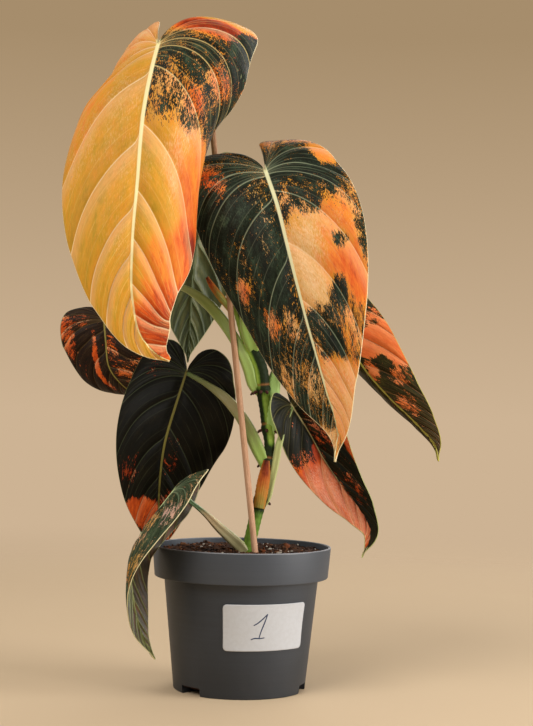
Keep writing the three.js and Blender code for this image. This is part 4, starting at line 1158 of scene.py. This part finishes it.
def lump(centre, size, squash, turn):
    """Vertices and faces of a rough chip: two jittered rings of six points between two tips."""
    ring = np.linspace(0, 2 * np.pi, 6, endpoint=False)
    points = [(0, 0, 0.5), (0, 0, -0.5)]
    for z, wide in ((0.28, 0.42), (-0.25, 0.45)):
        points += [(wide * math.cos(a + z), wide * math.sin(a + z), z) for a in ring]
    points = np.array(points) * (1 + rng.uniform(-0.28, 0.28, (14, 3)))
    points = points * size * np.array((1, squash[0], squash[1]))
    points = points @ np.array(Matrix.Rotation(turn[0], 3, "X") @ Matrix.Rotation(turn[1], 3, "Z"))
    faces = []
    for k in range(6):
        n = (k + 1) % 6
        faces += [(0, 2 + k, 2 + n), (2 + k, 8 + k, 8 + n, 2 + n), (1, 8 + n, 8 + k)]
    return points + centre, faces


def soil_height(x, y):
    """Height of the soil: two slow swells, lumps and crumbs, falling off at the pot's wall."""
    value = 0.8 * (math.sin(0.21 * x + 0.4) * math.cos(0.17 * y) + 0.6 * math.sin(0.33 * y - 0.25 * x))
    value += 1.3 * noise.noise(Vector((x * 0.16, y * 0.16, 3)))
    value += 1.1 * noise.noise(Vector((x * 0.45, y * 0.45, 8)))
    value += 0.7 * noise.noise(Vector((x * 1.1, y * 1.1, 5)))
    edge = smoothstep(46, 57, math.hypot(x, y))
    return SOIL["top"] + value - SOIL["edge_drop"] * edge


def soil_finish():
    """Damp peat: dark crumbs, rusty fibres, and each chip's own tint."""
    s = Surface("soil_crumb")
    where = s.place()
    shade, rust, pale, _ = s.attribute("tint")
    crumb = s.noise(where, 900, 4, 0.7)
    patch = s.noise(where, 120, 4, 0.6)
    value = s.math("ADD", shade, s.sum_of((crumb, 0.9), (patch, 0.8)), clamp=True)
    base = s.ramp(value, [(0, "120b07"), (0.3, "2a1a11"), (0.55, "4a2e1d"), (0.8, "71492e"), (1, "94653f")])
    base = s.mix(rust, base, "7d3f1c")
    base = s.mix(pale, base, "d8d0c0")
    s.bump(crumb, 0.0006, 0.8)
    return s.finish(base, 0.9, specular=0.2)


def build_soil():
    edge = POT["rim_radius"] - POT["rim_wall"] - 0.9
    shoulder = POT["height"] - POT["band_height"] + POT["wall"] + 0.3
    bottom = POT["lift"] + POT["floor"] + 0.3
    wall = POT["wall"] + 0.3
    profile = [(0, bottom), (body_radius(bottom) - wall, bottom), (body_radius(shoulder) - wall, shoulder),
               (POT["band_radius"] - POT["wall"] - 0.6, shoulder)]
    profile += [(edge * (SOIL["rings"] - k) / SOIL["rings"], SOIL["top"]) for k in range(SOIL["rings"] + 1)]
    vertices, faces = turned(profile, SOIL["segments"])
    vertices = [(x, y, soil_height(x, y)) if z == SOIL["top"] else (x, y, z) for x, y, z in vertices]
    tints = [(0.42, 0, 0)] * len(vertices)
    for number in range(SOIL["chips"] + SOIL["grains"]):
        radius = edge * math.sqrt(rng.uniform(0, 0.97))
        angle = rng.uniform(0, 2 * math.pi)
        x, y = radius * math.cos(angle), radius * math.sin(angle)
        if number < SOIL["chips"]:
            size = rng.uniform(1.0, 3.4) * (1.6 if rng.random() < 0.08 else 1)
            squash = (rng.uniform(0.35, 0.9), rng.uniform(0.25, 0.6))
            tint = (rng.uniform(0.15, 0.75), 0.6 * (rng.random() < 0.12), 0.5 * (rng.random() < 0.04))
        else:
            size = rng.uniform(0.8, 1.8)
            squash = (0.9, 0.8)
            tint = (0.8, 0, 0.9)
        centre = np.array((x, y, soil_height(x, y) + 0.12 * size))
        turn = (rng.uniform(-0.7, 0.7), rng.uniform(0, 2 * math.pi))
        points, chip_faces = lump(centre, size, squash, turn)
        first = len(vertices)
        vertices += points.tolist()
        faces += [[first + v for v in face] for face in chip_faces]
        tints += [tint] * len(points)
    make_piece("soil_ground", vertices, faces, [soil_finish()], ["soil"], None, {"tint": tints})


def build_stick():
    foot = np.array(STICK["foot"], float)
    top = np.array(STICK["top"], float)
    down = unit(foot - top)
    points = [foot + down * STICK["buried"], foot, (foot + top) / 2, top]
    sections = [(STICK["diameter"], STICK["diameter"])] * 4
    vertices, faces, attributes = stalk_mesh(points, sections, 220, 28)
    s = Surface("stick_wood")
    angle, along, share, _ = s.attribute("spot")
    around = s.lengthwise(angle, along, 4, 0.03)
    fibre = s.noise(around, 2.2, 5, 0.65)
    spots = s.noise(s.stretch(around, (1, 1, 4)), 1.1, 3, 0.5)
    value = s.math("ADD", s.sum_of((fibre, 1.3), (spots, 0.5)), s.step(share, 0, 1, 0.35, 0.62), clamp=True)
    base = s.ramp(value, [(0, "d3ab8c"), (0.35, "bd9272"), (0.65, "a1744f"), (1, "6e4a30")])
    s.bump(fibre, 0.0005, 0.6)
    s.finish(base, 0.62, specular=0.3)
    make_piece("stick_rod", vertices, faces, [s.material], ["stick"], None, attributes)


def stem_finish():
    """Dark green stem with light green stretches and brown dry scars at its joints."""
    s = Surface("stem_skin")
    light, scar, _, _ = s.attribute("tone")
    angle, along, _, _ = s.attribute("spot")
    around = s.lengthwise(angle, along, 2, 0.1)
    lines = s.noise(around, 2, 5, 0.62)
    value = s.math("ADD", light, s.sum_of((lines, 0.5)), clamp=True)
    base = s.ramp(value, [(0, "0f1507"), (0.3, "1c280e"), (0.55, "5c7a28"), (1, "98b24c")])
    base = s.mix(s.math("ADD", scar, s.sum_of((lines, 0.5)), clamp=True), base, "8a5a2e")
    s.bump(lines, 0.0005, 0.5)
    return s.finish(base, 0.6, specular=0.12)


def nub_finish():
    s = Surface("root_nub_bark")
    where = s.place()
    grain = s.noise(where, 1100, 4, 0.7)
    s.bump(grain, 0.0006, 0.8)
    return s.finish(s.mix(grain, "1c0f0a", "5a3226"), 0.75, specular=0.25)


def build_stem():
    rings, sides = 240, 32
    points = [np.array(p, float) for p in STEM["points"]]
    root = points[0] + unit(points[0] - points[1]) * STEM["buried"]
    radii = [STEM["radii"][0]] + STEM["radii"]
    sections = [(2 * r, 2 * r) for r in radii]
    vertices, faces, attributes = stalk_mesh([root] + points, sections, rings, sides)
    vertices = vertices.reshape(rings, sides, 3)
    axis = vertices.mean(1)
    height = axis[:, 2]
    swell = np.zeros(rings)
    scar = np.zeros(rings)
    for joint in STEM["joints"]:
        far = height - STEM["points"][joint][2]
        swell += 0.45 * np.exp(-(far / 2.6) ** 2) - 0.3 * np.exp(-((far - 3.4) / 0.9) ** 2)
        scar += 0.85 * np.exp(-((far - 3.2) / 0.8) ** 2)
    swell += 0.12 * np.sin(height * 1.7)
    ways = unit(vertices - axis[:, None])
    vertices = (vertices + ways * swell[:, None, None]).reshape(-1, 3)
    angle = attributes["spot"][:, 0]
    tall = np.repeat(height, sides)
    leftness = 0.5 - 0.5 * np.cos(angle)
    light = 0.22 + 0.75 * smoothstep(0.55, 0.8, leftness) * smoothstep(198, 206, tall)
    right_side = 0.6 * smoothstep(0.25, 0.5, 1 - leftness) * smoothstep(160, 166, tall)
    light += right_side * (1 - smoothstep(194, 200, tall))
    light += 0.35 * (1 - smoothstep(112, 124, tall))
    attributes["tone"] = np.stack([light, np.repeat(scar, sides) - 0.1, np.zeros(len(tall))], 1)
    kinds = [0] * len(faces)
    for at, azimuth, length in NUBS:
        side = math.radians(azimuth)
        outward = unit(np.array((math.sin(side), -math.cos(side), -NUB["droop"])))
        start = points[at] + outward * (STEM["radii"][at] - NUB["root"])
        bend = outward + np.array((0, 0, -0.25))
        middle = start + outward * (NUB["root"] + 0.5 * length)
        tip = start + NUB["root"] * outward + bend * length
        sizes = [2 * NUB["radius"], 2.1 * NUB["radius"], 2 * NUB["tip"]]
        nub, nub_faces, spots = stalk_mesh([start, middle, tip], [(d, d) for d in sizes], 14, 12)
        nub = nub + rng.normal(0, 0.05, nub.shape)
        first = len(vertices)
        vertices = np.vstack([vertices, nub])
        faces += [[first + v for v in face] for face in nub_faces]
        kinds += [1] * len(nub_faces)
        attributes["spot"] = np.vstack([attributes["spot"], spots["spot"]])
        attributes["tone"] = np.vstack([attributes["tone"], np.zeros((len(nub), 3))])
    finishes = [stem_finish(), nub_finish()]
    make_piece("stem_main", vertices, faces, finishes, ["stem"], kinds, attributes)


def husk_paper(name, stops):
    """Dry sheath: fibres lengthwise, dark streaks and orange-brown sides."""
    s = Surface(f"{name}_paper")
    over_x, _, reach, where = s.attribute("spot")
    fibre = s.noise(s.stretch(where, (7, 0.12, 0)), 1, 5, 0.65)
    blotch = s.noise(s.stretch(where, (1.2, 0.2, 0), (4, 1, 0)), 1, 4, 0.6)
    value = s.math("ADD", reach, s.sum_of((fibre, 0.35), (blotch, 0.5)), clamp=True)
    base = s.ramp(value, stops)
    base = s.mix(s.step(fibre, 0.55, 0.75, 0, 0.5), base, "5a2a10")
    base = s.mix(s.step(s.math("ABSOLUTE", over_x), 0.45, 0.85, 0, 0.6), base, "b06a20")
    s.bump(fibre, 0.0006, 0.7)
    return s.finish(base, 0.6, specular=0.15)


def build_dry_sheaths():
    """Papery dead sheaths: thin curved sheets that clasp the front of the stem, with ragged side edges."""
    rings, columns = 70, 26
    for name, sheath in DRY_SHEATHS.items():
        share = np.linspace(0, 1, rings)
        place, along, length = path_at(sheath["points"], share)
        knots = path_through(sheath["points"])[2]
        width = spline(knots, [s[0] for s in sheath["section"]], share)[:, None] / 2
        depth = spline(knots, [s[1] for s in sheath["section"]], share)[:, None] / 2
        facing = facing_of(along)
        across = np.cross(along, facing)
        side = np.linspace(-1, 1, columns)[None, :]
        torn = 1 - 0.1 * np.abs(np.sin(share * 23 + 1.3 * np.sin(share * 51)))[:, None] * np.abs(side) ** 4
        lift = depth * (1 - 1.5 * side ** 2) + 0.12 * np.sin(side * 19) * (1 - side ** 2)
        place = place[:, None] + across[:, None] * (width * side * torn)[..., None]
        place = place + facing[:, None] * lift[..., None]
        down = np.gradient(place, axis=0)
        over = np.gradient(place, axis=1)
        normal = unit(np.cross(over, down))
        normal = normal * np.sign((normal * facing[:, None]).sum(-1, keepdims=True))
        faces = grid_faces(rings, columns)
        upper = (place + 0.3 * normal).reshape(-1, 3)
        lower = (place - 0.3 * normal).reshape(-1, 3)
        vertices, faces, _, copies = close_sheet(upper, lower, faces, 0.1)
        distance = np.repeat(share * length, columns)
        spot = np.stack([np.tile(side[0], rings), distance, np.repeat(share, columns)], 1)
        paper = husk_paper(name, sheath["stops"])
        attributes = {"spot": spot[copies]}
        make_piece(f"{name}_husk", vertices, faces, [paper], [name], None, attributes)


def build_camera():
    pitch = math.radians(CAMERA["pitch"])
    roll = math.radians(CAMERA["roll"])
    forward = Vector((0, math.cos(pitch), math.sin(pitch)))
    level = Vector((1, 0, 0))
    over = level.cross(forward)
    right = math.cos(roll) * level + math.sin(roll) * over
    up = -math.sin(roll) * level + math.cos(roll) * over
    data = bpy.data.cameras.new("camera")
    data.lens = CAMERA["lens"]
    data.sensor_fit = "VERTICAL"
    data.sensor_height = CAMERA["height"]
    data.clip_end = 20
    camera = bpy.data.objects.new("camera", data)
    turn = Matrix((right, up, -forward)).transposed().to_4x4()
    camera.matrix_world = Matrix.Translation(Vector(CAMERA["place"]) * MM) @ turn
    bpy.context.collection.objects.link(camera)
    bpy.context.scene.camera = camera


# What the camera sees behind the plant, as stops of (height, colour code).
BACKDROP = [(0, "cdb394"), (0.26, "a68d6c")]
AMBIENT = {"colour": "b9b2a8", "strength": 0.75}
LIGHTS = {
    "key": {"place": (-0.75, -1.05, 1.3), "size": 1.0, "power": 19, "colour": (1, 0.97, 0.93)},
    "fill": {"place": (1.3, -0.4, 0.4), "size": 0.9, "power": 22, "colour": (1, 0.99, 0.99)},
    "rim": {"place": (0.5, 1.2, 1.0), "size": 1.0, "power": 7, "colour": (1, 0.97, 0.94)},
}
AIM = Vector((0, 0, 0.22))


def build_world():
    world = bpy.data.worlds.new("studio")
    world.use_nodes = True
    nodes = world.node_tree.nodes
    where = nodes.new("ShaderNodeTexCoord")
    parts = nodes.new("ShaderNodeSeparateXYZ")
    ramp = nodes.new("ShaderNodeValToRGB")
    for element, (place, code) in zip(ramp.color_ramp.elements, BACKDROP):
        element.position = place
        element.color = colour(code)
    links = world.node_tree.links
    links.new(where.outputs["Generated"], parts.inputs[0])
    links.new(parts.outputs["Z"], ramp.inputs[0])
    seen = nodes["Background"]
    links.new(ramp.outputs[0], seen.inputs[0])
    ambient = nodes.new("ShaderNodeBackground")
    ambient.inputs[0].default_value = colour(AMBIENT["colour"])
    ambient.inputs[1].default_value = AMBIENT["strength"]
    rays = nodes.new("ShaderNodeLightPath")
    either = nodes.new("ShaderNodeMixShader")
    links.new(rays.outputs["Is Camera Ray"], either.inputs[0])
    links.new(ambient.outputs[0], either.inputs[1])
    links.new(seen.outputs[0], either.inputs[2])
    links.new(either.outputs[0], nodes["World Output"].inputs[0])
    bpy.context.scene.world = world
    bpy.context.scene.view_settings.view_transform = "Standard"


def build_lights():
    for name, light in LIGHTS.items():
        data = bpy.data.lights.new(name, "AREA")
        data.size = light["size"]
        data.energy = light["power"]
        data.color = light["colour"]
        lamp = bpy.data.objects.new(name, data)
        place = Vector(light["place"])
        turn = (AIM - place).to_track_quat("-Z", "Y").to_matrix().to_4x4()
        lamp.matrix_world = Matrix.Translation(place) @ turn
        bpy.context.collection.objects.link(lamp)


def build_floor():
    bpy.ops.mesh.primitive_circle_add(vertices=96, radius=1.6, fill_type="NGON")
    floor = bpy.context.object
    floor.name = "floor"
    s = Surface("floor_plaster")
    where = s.place()
    grain = s.noise(where, 3, 4, 0.5)
    s.finish(s.mix(grain, "cdb595", "d2bb9c"), 0.85, specular=0.1)
    far = s.add("ShaderNodeVectorMath", operation="LENGTH")
    s.put(far.inputs[0], where)
    s.put(s.shader.inputs["Alpha"], s.step(far.outputs["Value"], 0.25, 1.4, 1, 0))
    floor.data.materials.append(s.material)


build_camera()
build_world()
build_lights()
build_floor()
build_pot()
build_label()
build_soil()
build_stick()
build_stem()
build_dry_sheaths()
build_leaves()
